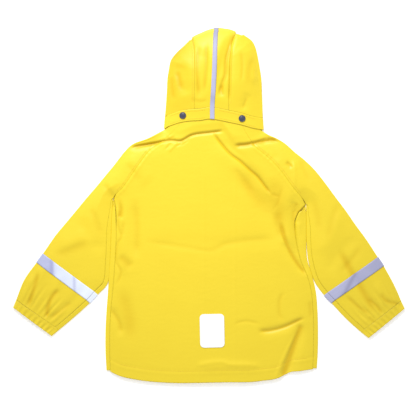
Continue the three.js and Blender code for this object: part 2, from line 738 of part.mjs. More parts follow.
const collarGrid = [];
for (let j = 0; j <= 3; j += 1) {
  const v = j / 3;
  const points = [];
  const put = (row) => lay([row[0], row[1]], [row[2], row[3]], v);
  const collarLow = low + wall + layGap + 0.2;
  const lowest = (p) => Math.max(collarLow, bottomLevel(p[0], Math.min(p[1], flapTop + 20)));
  steps(0, 3, 1).forEach((f) => {
    const p = put(along(collarUnderLeft, f));
    points.push([p[0], p[1], lowest(p)]);
  });
  const left = put(collarUnderLeft[4]);
  const zl = bodyTop(left[0] + 2, left[1]);
  points.push([left[0] + 2, left[1], collarLow]);
  [...turnAngles].reverse().forEach((angle) => {
    points.push(turned(left, [1, 0], angle, turnIn, zl, collarLow));
  });
  points.push([left[0] + 2, left[1], zl]);
  for (const f of [0.5, 1, 1.5, 2, 2.5, 3, 3.5, 4, 4.5, 5, 5.5]) {
    const p = put(along(collarTop, f));
    points.push([p[0], p[1], bodyTop(p[0], p[1])]);
  }
  const right = put(collarTop[6]);
  const zr = bodyTop(right[0] - 2, right[1]);
  points.push([right[0] - 2, right[1], zr]);
  turnAngles.forEach((angle) => points.push(turned(right, [-1, 0], angle, turnIn, zr, collarLow)));
  points.push([right[0] - 2, right[1], collarLow]);
  steps(1, 4, 1).forEach((f) => {
    const p = put(along(collarUnderRight, f));
    points.push([p[0], p[1], lowest(p)]);
  });
  collarGrid.push(points);
}
addSheet('collar', yellow, collarGrid, gridNormals(collarGrid), wall);

// Hood side panels: centre seam, out to the side fold, round it, and back underneath
const hoodTopParts = [0, 0.14, 0.28, 0.42, 0.56, 0.7, 0.84, 0.94, 1];
const hoodUnderParts = [0, 0.3, 0.65, 1];
const hoodHalf = 2.2;
const hoodAngles = [Math.PI / 4, Math.PI / 2, 3 * Math.PI / 4];
const hoodSteps = [0, 0.5, 1, 1.5, 2, 3, 4, 5, 6, 6.5, 7, 7.5, 8];

function bandTopY(x) {
  return against(hoodArc, x) + hoodBandWide;
}

function bandUnderY(x) {
  return against(hoodUnder, x) + hoodBandWide;
}

// The first rows of the hood follow the band below them
function followBand(y, first, f) {
  return y + first * (1 - clamp(f / 2, 0, 1)) ** 2;
}

function hoodSide(rows, side) {
  const start = along(rows, 0);
  const startIn = [start[0] + side * (turnOut + hoodHalf), start[1]];
  const startSeam = [start[2] - side * seamGap / 2, start[3]];
  return hoodSteps.map((f) => {
    const row = along(rows, f);
    const edge = [row[0], row[1]];
    const n = sideways(rows, f, 0, -side);
    const shut = Math.min(hoodHalf, Math.hypot(row[0] - row[2], row[1] - row[3]) * 0.3);
    const inner = [edge[0] + n[0] * (turnOut + shut), edge[1] + n[1] * (turnOut + shut)];
    const seam = [row[2] - side * seamGap / 2, row[3]];
    const points = [];
    hoodTopParts.forEach((t) => {
      const p = lay(seam, inner, t);
      const q = lay(startSeam, startIn, t);
      const y = followBand(p[1], bandTopY(q[0]) - q[1], f);
      points.push([p[0], y, hoodTop(p[0], y)]);
    });
    const z = points[points.length - 1][2];
    hoodAngles.forEach((angle) => points.push(turned(edge, n, angle, shut, z, low)));
    hoodUnderParts.forEach((t) => {
      const p = lay(inner, [row[4] - side * seamGap / 2, row[5]], t);
      const q = lay(startIn, [start[4], start[5]], t);
      points.push([p[0], followBand(p[1], (bandUnderY(q[0]) - q[1]) * smooth(t * 4), f), low]);
    });
    return points;
  });
}
const leftHood = hoodSide(hoodLeftRows, 1);
addSheet('hood_left', yellow, leftHood, gridNormals(leftHood), wall);
const rightHood = hoodSide(hoodRightRows, -1);
addSheet('hood_right', yellow, rightHood, gridNormals(rightHood), wall);

// Centre strip of the hood: from the band up the back, over the crown and down to the face edge
function tapeAt(y) {
  return against(tapeLine, y);
}
const stripAcross = (left, right, y) => [left, mix(left, tapeAt(y), 0.35), mix(left, tapeAt(y), 0.7),
  tapeAt(y), tapeAt(y) + tapeWide / 2, tapeAt(y) + tapeWide, mix(tapeAt(y) + tapeWide, right, 0.35),
  mix(tapeAt(y) + tapeWide, right, 0.7), right];

const centreGrid = [];
for (const f of [...hoodSteps.slice(0, -1)]) {
  const a = along(hoodLeftRows, f);
  const b = along(hoodRightRows, f);
  const left = a[2] + seamGap / 2;
  const right = b[2] - seamGap / 2;
  const bow = smooth((f - 4.5) / 3) * 9;
  const xs = stripAcross(left, right, mix(a[3], b[3], 0.5));
  centreGrid.push(xs.map((x) => {
    const t = (x - left) / (right - left);
    const first = bandTopY(x) - mix(hoodLeftRows[0][3], hoodRightRows[0][3], t);
    const y = followBand(mix(a[3], b[3], t) + bow * Math.sin(Math.PI * t), first, f);
    return [x, y, hoodTop(x, y)];
  }));
}
const crownLeft = -34.6;
const crownRight = 52.6;
const crownShape = (xs, angle) => xs.map((x) => {
  const edge = [x, against(crown, x)];
  const p = [edge[0], edge[1] - turnOut - hoodHalf];
  const z = hoodTop(p[0], p[1]);
  return angle === 0 ? [p[0], p[1], z] : turned(edge, [0, -1], angle, hoodHalf, z, low);
});
const crownXs = stripAcross(crownLeft, crownRight, 352);
centreGrid.push(crownShape(crownXs, 0));
hoodAngles.forEach((angle) => centreGrid.push(crownShape(crownXs, angle)));
const lipLeft = [-37.6, 303];
const lipRight = [55.6, 306];
for (const t of [0, 0.25, 0.5, 0.75, 1]) {
  const left = mix(crownLeft, lipLeft[0], t) + seamGap / 2;
  const right = mix(crownRight, lipRight[0], t) - seamGap / 2;
  centreGrid.push(stripAcross(left, right, 352).map((x, k) => {
    const from = against(crown, crownXs[k]) - turnOut - hoodHalf;
    const to = mix(lipLeft[1], lipRight[1], (x - left) / (right - left));
    return [x, mix(from, to, t), low];
  }));
}
const centreNormals = gridNormals(centreGrid);
addSheet('hood_centre', yellow, centreGrid, centreNormals, wall);

// Band along the neck edge of the hood
const bandTopXs = [-84, -74, -62, -50, -38, -24, -12, 1.2, 5.6, 10, 24, 38, 52, 66, 80, 92, 101];
const bandGrid = [];
for (let j = 0; j <= 3; j += 1) {
  const v = j / 3;
  const rise = v * (hoodBandWide - seamGap - 0.1);
  const points = [];
  const under = (from, to, t) => [mix(from[0], to[0], t), mix(from[1], to[1], t) + rise];
  const leftEdge = [mix(-91, -89.2, v), 153.2 + rise];
  const rightEdge = [mix(108.6, 107.2, v), 150.9 + rise];
  for (const t of [0, 0.33, 0.66]) points.push([...under([-14, 100], [-60, 116], t), low]);
  for (const t of [0, 0.5]) points.push([...under([-60, 116], [-80, 134], t), low]);
  points.push([leftEdge[0] + turnOut + hoodHalf, leftEdge[1], low]);
  const zl = hoodTop(leftEdge[0] + turnOut + hoodHalf, leftEdge[1]);
  [...hoodAngles].reverse().forEach((angle) => {
    points.push(turned(leftEdge, [1, 0], angle, hoodHalf, zl, low));
  });
  points.push([leftEdge[0] + turnOut + hoodHalf, leftEdge[1], zl]);
  bandTopXs.forEach((x) => {
    const y = against(hoodArc, x) + rise;
    points.push([x, y, hoodTop(x, y)]);
  });
  const zr = hoodTop(rightEdge[0] - turnOut - hoodHalf, rightEdge[1]);
  points.push([rightEdge[0] - turnOut - hoodHalf, rightEdge[1], zr]);
  hoodAngles.forEach((angle) => points.push(turned(rightEdge, [-1, 0], angle, hoodHalf, zr, low)));
  points.push([rightEdge[0] - turnOut - hoodHalf, rightEdge[1], low]);
  for (const t of [0.5, 1]) points.push([...under([98, 130], [78, 112], t), low]);
  for (const t of [0.33, 0.66, 1]) points.push([...under([78, 112], [38, 100], t), low]);
  bandGrid.push(points);
}
const bandNormals = gridNormals(bandGrid);
addSheet('hood_band', yellow, bandGrid, bandNormals, wall);

// Reflective tape up the hood, over the band and the centre strip as far as the crown
const tapeGrid = [];
const tapeNormals = [];
const bandColumn = 10 + bandTopXs.indexOf(1.2);
bandGrid.forEach((row, j) => {
  tapeGrid.push(row.slice(bandColumn, bandColumn + 3));
  tapeNormals.push(bandNormals[j].slice(bandColumn, bandColumn + 3));
});
centreGrid.slice(0, hoodSteps.length + 1).forEach((row, j) => {
  tapeGrid.push(row.slice(3, 6));
  tapeNormals.push(centreNormals[j].slice(3, 6));
});
addSheet('hood_tape', silver, moved(tapeGrid, tapeNormals, wall / 2 + layGap + tape / 2), tapeNormals, tape);

// Snap caps on the hood band
for (const [name, x, y] of [['left', -53, 179], ['right', 65, 173]]) {
  const z = hoodTop(x, y);
  const slope = [(hoodTop(x - 4, y) - hoodTop(x + 4, y)) / 8, (hoodTop(x, y - 4) - hoodTop(x, y + 4)) / 8, 1];
  const size = Math.hypot(...slope);
  const n = slope.map((part) => part / size);
  const lift = wall / 2 + 0.5;
  addSnap(`hood_snap_${name}`, [x + n[0] * lift, y + n[1] * lift, z + n[2] * lift], n, 6.8, 2.2, 18);
}

// Plain light patch on the lower back, a rectangle with round corners
const patchCentre = [5.5, -251];
const patchWide = 49;
const patchTall = 67;
const patchCorner = 8;
const patchTilt = 0.02;
const patchGrid = [];
const patchParts = [0, 0.03, 0.07, 0.12, 0.3, 0.5, 0.7, 0.88, 0.93, 0.97, 1];
for (const v of patchParts) {
  const row = [];
  const fromEnd = Math.min(v, 1 - v) * patchTall;
  const cut = fromEnd < patchCorner
    ? patchCorner - Math.sqrt(patchCorner ** 2 - (patchCorner - fromEnd) ** 2) : 0;
  for (let i = 0; i <= 4; i += 1) {
    const px = mix(-patchWide / 2 + cut, patchWide / 2 - cut, i / 4);
    const py = (v - 0.5) * patchTall;
    const x = patchCentre[0] + px - py * patchTilt;
    const y = patchCentre[1] + py + px * patchTilt;
    row.push([x, y, bodyTop(x, y)]);
  }
  patchGrid.push(row);
}
const patchNormals = gridNormals(patchGrid);
addSheet('back_patch', 0xf4f4f2, moved(patchGrid, patchNormals, wall / 2 + layGap + tape / 2), patchNormals, tape);

export default group;
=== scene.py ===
# %% [markdown]
# # Kids raincoat of coated cloth, laid flat with its back up
# The raincoat is cut from one thin coated cloth and sewn: a back, two fronts under it, raglan
# sleeves, elastic cuffs, and a hood of three panels on a band. Cloth like this could be simulated,
# but a garment that somebody spread and smoothed by hand keeps creases that no simulation finds.
# So each piece is a surface worked out from the same rows of numbers that shape the plain model,
# with finer creases added, and it takes the place of its plain solid.

import math

import bpy
import numpy as np
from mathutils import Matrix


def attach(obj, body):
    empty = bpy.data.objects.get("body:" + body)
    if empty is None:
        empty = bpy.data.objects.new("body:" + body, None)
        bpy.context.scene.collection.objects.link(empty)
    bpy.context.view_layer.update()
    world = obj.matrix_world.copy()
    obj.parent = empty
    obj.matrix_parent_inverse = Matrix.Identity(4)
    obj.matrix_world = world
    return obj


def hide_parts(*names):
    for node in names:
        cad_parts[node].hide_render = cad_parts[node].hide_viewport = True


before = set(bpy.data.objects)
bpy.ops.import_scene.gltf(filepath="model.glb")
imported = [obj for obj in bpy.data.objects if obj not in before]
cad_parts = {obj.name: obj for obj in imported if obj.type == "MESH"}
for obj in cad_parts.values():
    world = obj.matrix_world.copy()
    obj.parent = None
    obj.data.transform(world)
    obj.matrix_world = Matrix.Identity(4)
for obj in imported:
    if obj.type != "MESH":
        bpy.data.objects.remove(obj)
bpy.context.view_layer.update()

# %% [markdown]
# ## Camera
# The raincoat lies on a table and is seen from straight above, so the camera hangs over it and
# looks down, with the hood at the top of the picture. A long lens keeps the edges of the sleeves
# from leaning outwards.

# %% Camera above the table
VIEW_WIDE = 0.832
VIEW_HIGH = 2.6
TOP_OF_BACK = 0.008
camera_data = bpy.data.cameras.new("camera_above")
camera_data.sensor_width = 36.0
camera_data.sensor_fit = "HORIZONTAL"
camera_data.lens = 36.0 * VIEW_HIGH / VIEW_WIDE
camera_data.clip_end = 20.0
camera = bpy.data.objects.new("camera_above", camera_data)
camera.location = (-0.0018, -0.0050, VIEW_HIGH + TOP_OF_BACK)
camera.rotation_euler = (0.0, 0.0, 0.0)
bpy.context.collection.objects.link(camera)
bpy.context.scene.camera = camera
print("lens", round(camera_data.lens, 1), "mm")

# %% [markdown]
# ## Light
# A bright, soft studio: an even white surround, and one wide soft light on the hood's side. The
# creases are only a few millimetres deep, so they show by which way they lean: the side that
# faces the hood is bright and the other side falls into a deeper yellow. A second, rounder light
# makes a soft pool on the middle of the back, which is the brightest part of the cloth.

# %% Soft surround and two lights
SURROUND_STRENGTH = 0.73
world = bpy.data.worlds.new("white_studio")
world.use_nodes = True
world.node_tree.nodes["Background"].inputs["Color"].default_value = (1.0, 1.0, 1.0, 1.0)
world.node_tree.nodes["Background"].inputs["Strength"].default_value = SURROUND_STRENGTH
bpy.context.scene.world = world
bpy.context.scene.view_settings.view_transform = "Standard"


def hang_light(name, kind, place, aim, watts, **settings):
    """Light of a kind at a place, turned so that it faces the aim, with its own settings."""
    data = bpy.data.lights.new(name, kind)
    data.energy = watts
    for key, value in settings.items():
        setattr(data, key, value)
    lamp = bpy.data.objects.new(name, data)
    lamp.location = place
    away = np.array(place, float) - np.array(aim, float)
    away /= np.linalg.norm(away)
    lamp.rotation_euler = (math.acos(away[2]), 0.0, math.atan2(away[1], away[0]) + math.pi / 2)
    bpy.context.collection.objects.link(lamp)


hang_light("light_from_the_hood_side", "AREA", (-0.5, 1.7, 1.5), (0, 0, 0), 15.0, size=1.3)
hang_light("pool_on_the_back", "SPOT", (-0.25, 1.5, 1.35), (-0.03, -0.01, 0.0), 125.0,
           spot_size=math.radians(31.0), spot_blend=1.0, shadow_soft_size=0.2)

# %% [markdown]
# ## Reading the rows
# A pattern cutter would give each panel as a few measured points. Here they are rows of a table,
# from one end of the panel to the other, and a smooth curve through the rows gives every place
# between. The same four helpers serve all pieces.


# %% Curves through the rows of a table
def smooth(value):
    """Soft step: 0 up to 0, 1 from 1 on, and 3t² - 2t³ between."""
    t = np.clip(value, 0.0, 1.0)
    return t * t * (3.0 - 2.0 * t)


def mix(a, b, t):
    """Straight share t of the way from a to b."""
    return a + (b - a) * t


def rows_at(table, f):
    """Rows at fractional row numbers f: the cubic through four neighbouring rows, with half the
    difference of its neighbours as the slope at each row."""
    table = np.asarray(table, float)
    last = len(table) - 1
    f = np.asarray(f, float)
    i = np.clip(np.floor(f).astype(int), 0, last - 1)
    t = (f - i)[..., None]
    p0, p1 = table[np.maximum(i - 1, 0)], table[i]
    p2, p3 = table[i + 1], table[np.minimum(i + 2, last)]
    slope, bow, twist = p2 - p0, 2 * p0 - 5 * p1 + 4 * p2 - p3, 3 * p1 - p0 - 3 * p2 + p3
    return 0.5 * (2 * p1 + slope * t + bow * t**2 + twist * t**3)


def curve(points, cuts=8):
    """Polyline on the smooth curve through a few points."""
    return rows_at(points, np.linspace(0, len(points) - 1, (len(points) - 1) * cuts + 1))


def side_normal(table, f, column, side):
    """Unit vector square to the line of two table columns, turned to the side asked for."""
    last = len(table) - 1
    a = rows_at(table, np.maximum(f - 0.2, 0))[..., column : column + 2]
    b = rows_at(table, np.minimum(f + 0.2, last))[..., column : column + 2]
    d = (b - a) / np.linalg.norm(b - a, axis=-1, keepdims=True)
    return np.stack([-d[..., 1] * side, d[..., 0] * side], -1)


def height_of(table, x):
    """Second column of a table against its first, straight between rows."""
    table = np.asarray(table, float)
    return np.interp(x, table[:, 0], table[:, 1])


# %% [markdown]
# ## The cut of the raincoat
# All lengths are millimetres until the mesh is made. Every sleeve row gives the overarm fold, the
# seam on the back and the seam underneath. Body rows give the two side folds. Hood rows give the
# outer fold, the seam to the centre strip and the edge round the face.

# %% Thicknesses and gaps
WALL = 1.2  # cloth
TAPE = 0.7  # reflective tape and patch
SEAM_GAP = 0.06  # between two pieces at a seam
LAY_GAP = 0.35  # between two layers that lie on each other
ON_CLOTH = WALL / 2 + LAY_GAP + TAPE / 2  # from the middle of the cloth to the middle of a tape on it
TURN_OUT = 0.25  # how far a fold stays inside the outline
TURN_IN = 1.2  # half width of a side fold
LOW = 0.6  # middle of a layer on the floor
STRIP_WIDE = 7.0  # from a sleeve's lower fold to its seam
STRIP_AT_ARMPIT = 1.5
FLAP_LEFT, FLAP_RIGHT, FLAP_TOP, FLAP_LOW = -11.0, 51.0, 97.0, -349.0
FLAP_LEVEL = 1.75
OVER_FLAP = FLAP_LEVEL + WALL + LAY_GAP
SHIFT = np.array([1.0, 0.6, 0.0])  # puts the origin in the middle of the outline
print("cloth with its turnings", WALL, "mm, tape", TAPE, "mm")

# %% Sleeve rows: overarm x y, back seam x y, front seam x y
sleeve_left = [
    [-62, 178, -50, 172, -54, 122], [-84, 155.5, -68, 153, -69, 112], [-104, 143.5, -84, 136, -85, 101],
    [-125, 133, -103, 123, -101, 89], [-152, 123, -121, 108, -117, 76], [-169, 108, -138, 86, -134, 62],
    [-190, 81, -156, 60, -152, 46], [-209, 58, -174, 34, -171, 30], [-228, 35, -192.4, 14, -192.4, 14],
    [-247, 13, -196.2, -30, -196.2, -30], [-265, -9, -197.6, -72, -197.6, -72],
    [-285, -33, -199.5, -115, -199.5, -115],
    [-309, -62, -204, -156, -204, -156], [-333, -97, -224, -179, -224, -179], [-346, -115, -240, -196, -240, -196],
    [-371, -150, -272, -225, -272, -225], [-387, -190, -303, -251, -303, -251],
]
sleeve_right = [
    [80, 176, 60, 171, 75, 115], [98, 155, 68, 154, 88, 103], [116, 142, 79, 135, 101, 91],
    [134, 134, 93, 116, 115, 79], [152, 123, 110, 102, 129, 66], [171, 106, 127, 87, 144, 52],
    [192, 89, 146, 65, 159, 37], [213, 68, 167, 36, 176, 20], [235, 40, 193.4, 2, 193.4, 2],
    [254, 14, 194.4, -34, 194.4, -34], [273, -11, 194.8, -72, 194.8, -72], [293, -40, 198.6, -112, 198.6, -112],
    [315, -70, 210.5, -152, 210.5, -152], [337, -104, 230, -180, 230, -180], [349, -122, 245, -196, 245, -196],
    [370, -160, 275, -228, 275, -228], [384, -192, 305, -255, 305, -255],
]
UNDER_ROW = 8  # the row at the armpit
BAND_ROWS = (13, 14)
LAST_ROW = 16  # the row at the cuff
ARMPIT_BULGE = 0.8  # how far the sleeve swells towards the body just below the armpit
sleeves = (("left", sleeve_left, 1), ("right", sleeve_right, -1))
print("sleeve rows", len(sleeve_left), len(sleeve_right))

# %% Body rows: left fold x y and seam inset, right fold x y and seam inset; hem line x y
body_sides = [
    [-206, -331, 6, 215, -327, 6], [-208, -292, 7, 217, -292, 7], [-208, -252, 7, 217.5, -252, 7],
    [-206, -212, 7, 216.5, -214, 7], [-203, -172, 8, 213.5, -176, 7], [-201, -136, 9, 205.5, -140, 8],
    [-198.5, -100, 9, 195.5, -106, 12], [-197, -62, 9, 194, -68, 19], [-195.8, -24, 7, 194, -30, 20],
    [-192.9, 12, 2, 193, 0, 4],
]
hem = [
    [-207, -328], [-193, -336], [-179, -342], [-159, -347], [-119, -353], [-69, -356], [-19, -355.5],
    [31, -354.5], [81, -354], [105, -351.5], [131, -348], [151, -340], [163, -334], [181, -332], [217, -327],
]
hem_line = curve(hem)
print("half chest", body_sides[-1][3] - body_sides[-1][0], "mm")

# %% Hood rows: outer fold x y, centre seam x y, face edge x y; neck edges and crown x y
hood_left_rows = [
    [-89, 176.5, -30, 193, -19, 124], [-87, 200, -30, 213, -31, 160], [-85, 230, -30, 238, -43, 205],
    [-84, 252, -30, 259, -46, 243], [-81, 272, -30, 279, -45, 270], [-77, 290, -30, 299, -42, 289],
    [-66, 305, -31, 313, -38, 303], [-51, 319, -33, 325, -37, 316], [-39, 331, -35, 332.5, -36, 329],
]
hood_right_rows = [
    [107, 174.8, 39, 190, 43, 124], [106, 198, 39, 210, 50, 160], [105, 230, 39.5, 238, 59, 205],
    [104, 252, 40, 262, 62, 243], [101, 273, 40.5, 284, 61, 270], [97.5, 293, 42, 304, 58, 290],
    [93, 313, 44, 321, 56, 306], [85, 329, 48, 333, 55, 320], [67, 342, 53, 343, 56, 337],
]
hood_arc = curve([
    [-91, 153.2], [-83, 157], [-69, 162], [-59, 165], [-39, 168], [-19, 169], [0, 172], [17, 170], [41, 165],
    [65, 160], [85, 154.4], [101, 151.6], [109, 150.8],
])
hood_under = [[-91, 153.2], [-80, 134], [-60, 116], [-14, 100], [38, 100], [78, 112], [98, 130], [109, 150.9]]
HOOD_BAND = 23.5  # width of the band
HOOD_HALF = 2.2  # half width of the hood's outer folds
crown = [[-36, 335], [-28, 340], [-19, 344], [-5, 350], [9, 354], [19, 355], [31, 353.5], [41, 352], [54, 347]]
tape_line = [[160, 1.2], [200, 1.4], [212, 2.2], [230, 3.2], [270, 5.2], [310, 6.8], [355, 9.4]]
TAPE_WIDE = 8.8
hood_sides = (("left", hood_left_rows, 1), ("right", hood_right_rows, -1))
print("hood rows", len(hood_left_rows))

# %% [markdown]
# ## Creases
# A crease in coated cloth is a soft trough or ridge: a bell across, often steeper on one side, that
# fades in and out along its length. Creases drawn in a bump texture would vanish from the side, so
# they are part of the surface. The first list holds the main folds, the ones that the plain model
# has too. The second holds the fine ones, each placed one by one, as uneven as real ones are.

# %% Main folds: start x y, end x y, bend, height, half width right of the line, half width left
main_folds = [
    [7, 146, 125, 20, 4, -2.6, 9, 9], [0, 120, 118, 10, 6, 1.2, 16, 16], [48, 84, 154, -84, 16, -3.6, 24, 17],
    [146, -60, 199, -138, -4, -3.2, 11, 9], [168, 26, 186, -122, -6, -4.2, 12, 7],
    [186, -230, 146, -352, 4, -3.4, 12, 10], [92, -254, 196, -226, -6, -2.0, 9, 7],
    [-32, -324, 108, -326, 4, 1.2, 10, 10], [-150, 16, -146, -112, -4, -1.8, 11, 11],
    [-139, -68, 170, -66, -8, -0.7, 14, 14], [-200, -200, -177, -266, 5, -1.6, 9, 9],
    [-172, 96, -120, 40, 8, 1.0, 16, 16], [-186, 12, -176, -150, 8, 1.4, 8, 10],
    [-356, -200, -318, -112, 8, 1.6, 9, 9], [-322, -222, -290, -130, 6, 1.5, 9, 9],
    [-304, -214, -240, -150, -6, -1.4, 9, 9], [-306, -90, -214, -66, 6, 1.2, 12, 18],
    [-262, -20, -208, -96, -6, -1.2, 12, 12], [352, -212, 306, -128, -6, 1.6, 9, 9],
    [384, -206, 330, -150, 6, 1.4, 9, 9], [318, -232, 262, -168, 6, -1.4, 9, 9],
    [262, -6, 214, -100, 8, 1.4, 14, 14], [300, -60, 232, -140, -8, -1.2, 12, 12],
    [168, 92, 190, 20, -4, 1.4, 9, 9], [98, 134, 138, 84, 4, -1.2, 8, 10],
]
hood_folds = [
    [52, 350, 18, 208, -10, -4.0, 9, 12], [44, 320, 38, 200, -4, -2.2, 8, 8], [-12, 322, -24, 206, 4, -2.4, 9, 9],
    [-64, 286, -48, 214, 6, -2.6, 14, 12], [76, 226, 66, 186, 2, -1.2, 9, 9], [78, 322, 84, 236, 8, 2.0, 18, 14],
]


def fold_height(folds, x, y):
    """Sum of bells across bent lines, each faded in and out over a quarter of its length."""
    total = np.zeros_like(x)
    for x0, y0, x1, y1, bend, height, right, left in folds:
        size = math.hypot(x1 - x0, y1 - y0)
        ux, uy = (x1 - x0) / size, (y1 - y0) / size
        a = ((x - x0) * ux + (y - y0) * uy) / size
        b = (y - y0) * ux - (x - x0) * uy - bend * 4 * a * (1 - a)
        wide = np.where(b > 0, left, right)
        ends = smooth(a / 0.25) * smooth((1 - a) / 0.25)
        total += np.where((a > 0) & (a < 1), height * ends * np.exp(-((b / wide) ** 2)), 0)
    return total


print("main folds", len(main_folds) + len(hood_folds))


# %% Place along and across a line
def beside(line, x, y):
    """For each point: its distance from a polyline, plus on the left and minus on the right, and
    the length along the line to the nearest place on it."""
    steps = np.diff(line, axis=0)
    sizes = np.hypot(steps[:, 0], steps[:, 1])
    starts = np.concatenate([[0.0], np.cumsum(sizes)])
    best = np.full(x.shape, 1e9)
    side = np.ones(x.shape)
    at = np.zeros(x.shape)
    for (ax, ay), (dx, dy), size, start in zip(line[:-1], steps, sizes, starts):
        t = np.clip(((x - ax) * dx + (y - ay) * dy) / size**2, 0, 1)
        ex, ey = x - ax - t * dx, y - ay - t * dy
        d = np.hypot(ex, ey)
        closer = d < best
        best = np.where(closer, d, best)
        side = np.where(closer, np.where(dx * ey - dy * ex > 0, 1.0, -1.0), side)
        at = np.where(closer, start + t * size, at)
    return best * side, at, starts[-1]


def crease_height(creases, x, y):
    """Height of fine creases, and how deep in a trough each point is. Across a crease the height
    is a bell with its own width on each side; along it, it fades over the given share."""
    total, depth = np.zeros(x.shape), np.zeros(x.shape)
    for points, height, right, left, fade in creases:
        line = curve(points, 5)
        reach = 2.6 * max(right, left)
        near = (x > line[:, 0].min() - reach) & (x < line[:, 0].max() + reach)
        near &= (y > line[:, 1].min() - reach) & (y < line[:, 1].max() + reach)
        if not near.any():
            continue
        b, at, size = beside(line, x[near], y[near])
        a = at / size
        bell = np.exp(-((b / np.where(b > 0, left, right)) ** 2)) * smooth(a / fade) * smooth((1 - a) / fade)
        total[near] += height * bell
        depth[near] += max(-height, 0) * bell
    return total, depth


# %% Fine creases of the back: points, height, width on the right, width on the left, fade
back_creases = [
    ([(56, 66), (92, 18), (132, -26)], -1.5, 12, 20, 0.3),
    ([(-157, 118), (-119, 124), (-79, 131), (-57, 130), (-33, 142), (3, 147), (31, 150)], 1.6, 2.5, 13, 0.08),
    ([(-157, 117), (-119, 123), (-79, 130), (-57, 129), (-33, 141), (3, 146), (31, 149.5)], -3.4, 3.2, 2.6, 0.08),
    ([(-162, 115), (-142, 118), (-118, 122), (-96, 126)], -2.2, 7, 3, 0.25),
    ([(-89, 131), (-78, 134), (-67, 137)], -1.3, 2.4, 2.4, 0.3),
    ([(-75, 126), (-81, 119), (-89, 110)], -0.9, 2.4, 2.4, 0.3),
    ([(-63, 128), (-72, 117), (-84, 105)], 0.9, 2.6, 2.6, 0.3),
    ([(-51, 129), (-60, 121), (-68, 117)], -0.9, 2.4, 2.4, 0.3),
    ([(-39, 134), (-48, 125), (-60, 117)], -0.7, 2.4, 2.4, 0.3),
    ([(47, 119.5), (71, 121.5), (91, 125), (121, 132), (141, 131)], -3.8, 5.5, 3.6, 0.15),
    ([(47, 122), (71, 125), (91, 130), (116, 138)], 1.2, 3, 12, 0.15),
    ([(7, 146), (21, 126), (41, 103), (61, 88), (81, 70), (97, 56), (111, 38), (125, 20)], -3.0, 2.6, 3.0, 0.1),
    ([(14, 146), (28, 127), (48, 105), (68, 91), (88, 74)], 0.8, 5, 5, 0.2),
    ([(46, 76), (61, 62), (78, 40), (92, 18)], -0.8, 7, 5, 0.25),
    ([(141, -32), (152, -72), (168, -105), (186, -130), (197, -142)], -3.2, 3.0, 4.5, 0.15),
    ([(141, -68), (157, -82), (170, -99), (183, -117)], 1.1, 4, 4, 0.2),
    ([(147, 40), (140, 14), (131, -14)], -0.8, 3, 3, 0.3),
    ([(121, 20), (131, 20), (141, 16)], -0.9, 2.5, 3, 0.3),
    ([(153, 88), (160, 81), (167, 74)], -2.0, 5, 3, 0.3),
    ([(133, -8), (140, -40), (147, -72)], -1.6, 8, 9, 0.3),
    ([(124, 62), (136, 10), (146, -46)], -1.3, 14, 16, 0.3),
    ([(173, 8), (177, -14), (178, -40)], -2.6, 3.5, 3.5, 0.2),
    ([(186, -8), (187, -40), (184, -72)], -1.6, 3, 3, 0.25),
    ([(169, 94), (170, 62), (169, 30)], 1.0, 4, 4, 0.25),
    ([(167, 10), (171, -40), (179, -80), (189, -114), (197, -132)], -1.7, 3.5, 3.5, 0.12),
    ([(176, 8), (177, -14), (174, -42)], 1.2, 4, 4, 0.3),
    ([(-194, 12), (-184, 3), (-178, -6), (-179, -30)], -2.8, 4, 5, 0.2),
    ([(-178, -6), (-183, -38), (-177, -64), (-185, -80), (-187, -112), (-177, -135), (-187, -162)],
     -1.1, 2.6, 2.6, 0.1),
    ([(-183, -100), (-168, -112), (-152, -126)], -1.5, 9, 8, 0.3),
    ([(-149, 10), (-145, -50), (-147, -110)], -1.0, 6, 7, 0.25),
    ([(-171, -30), (-175, -66)], -1.0, 4, 4, 0.35),
    ([(-199, -206), (-181, -234), (-177, -260)], -1.3, 4, 4, 0.25),
    ([(-179, -160), (-162, -220), (-157, -280)], -1.2, 13, 13, 0.3),
    ([(185, -236), (169, -280), (154, -323), (146, -348)], -3.0, 5.0, 6, 0.1),
    ([(184, -238), (161, -280), (145, -314), (131, -350)], 1.3, 3, 4, 0.15),
    ([(186, -238), (177, -280), (166, -331)], 0.9, 3, 3, 0.2),
    ([(95, -252), (121, -252), (151, -244), (181, -230), (193, -226)], -2.4, 2.5, 4, 0.15),
    ([(45, -240), (71, -232), (105, -238)], -0.8, 3, 3, 0.3),
    ([(151, -170), (141, -190), (141, -220), (153, -232)], -0.9, 4, 4, 0.25),
    ([(201, -188), (203, -210), (203, -230)], -1.0, 4, 4, 0.3),
    ([(-29, -322), (1, -316), (25, -314), (41, -319), (81, -320), (105, -324)], 0.9, 3, 5, 0.12),
    ([(-139, -70), (-60, -82), (1, -90), (31, -78), (61, -72), (141, -64)], -0.6, 6, 6, 0.15),
    ([(-11, 80), (-11, -130), (-11, -350)], 0.3, 2.4, 2.4, 0.1),
    ([(51, 70), (51, -130), (51, -350)], 0.3, 2.4, 2.4, 0.1),
]
print("fine creases on the back", len(back_creases))

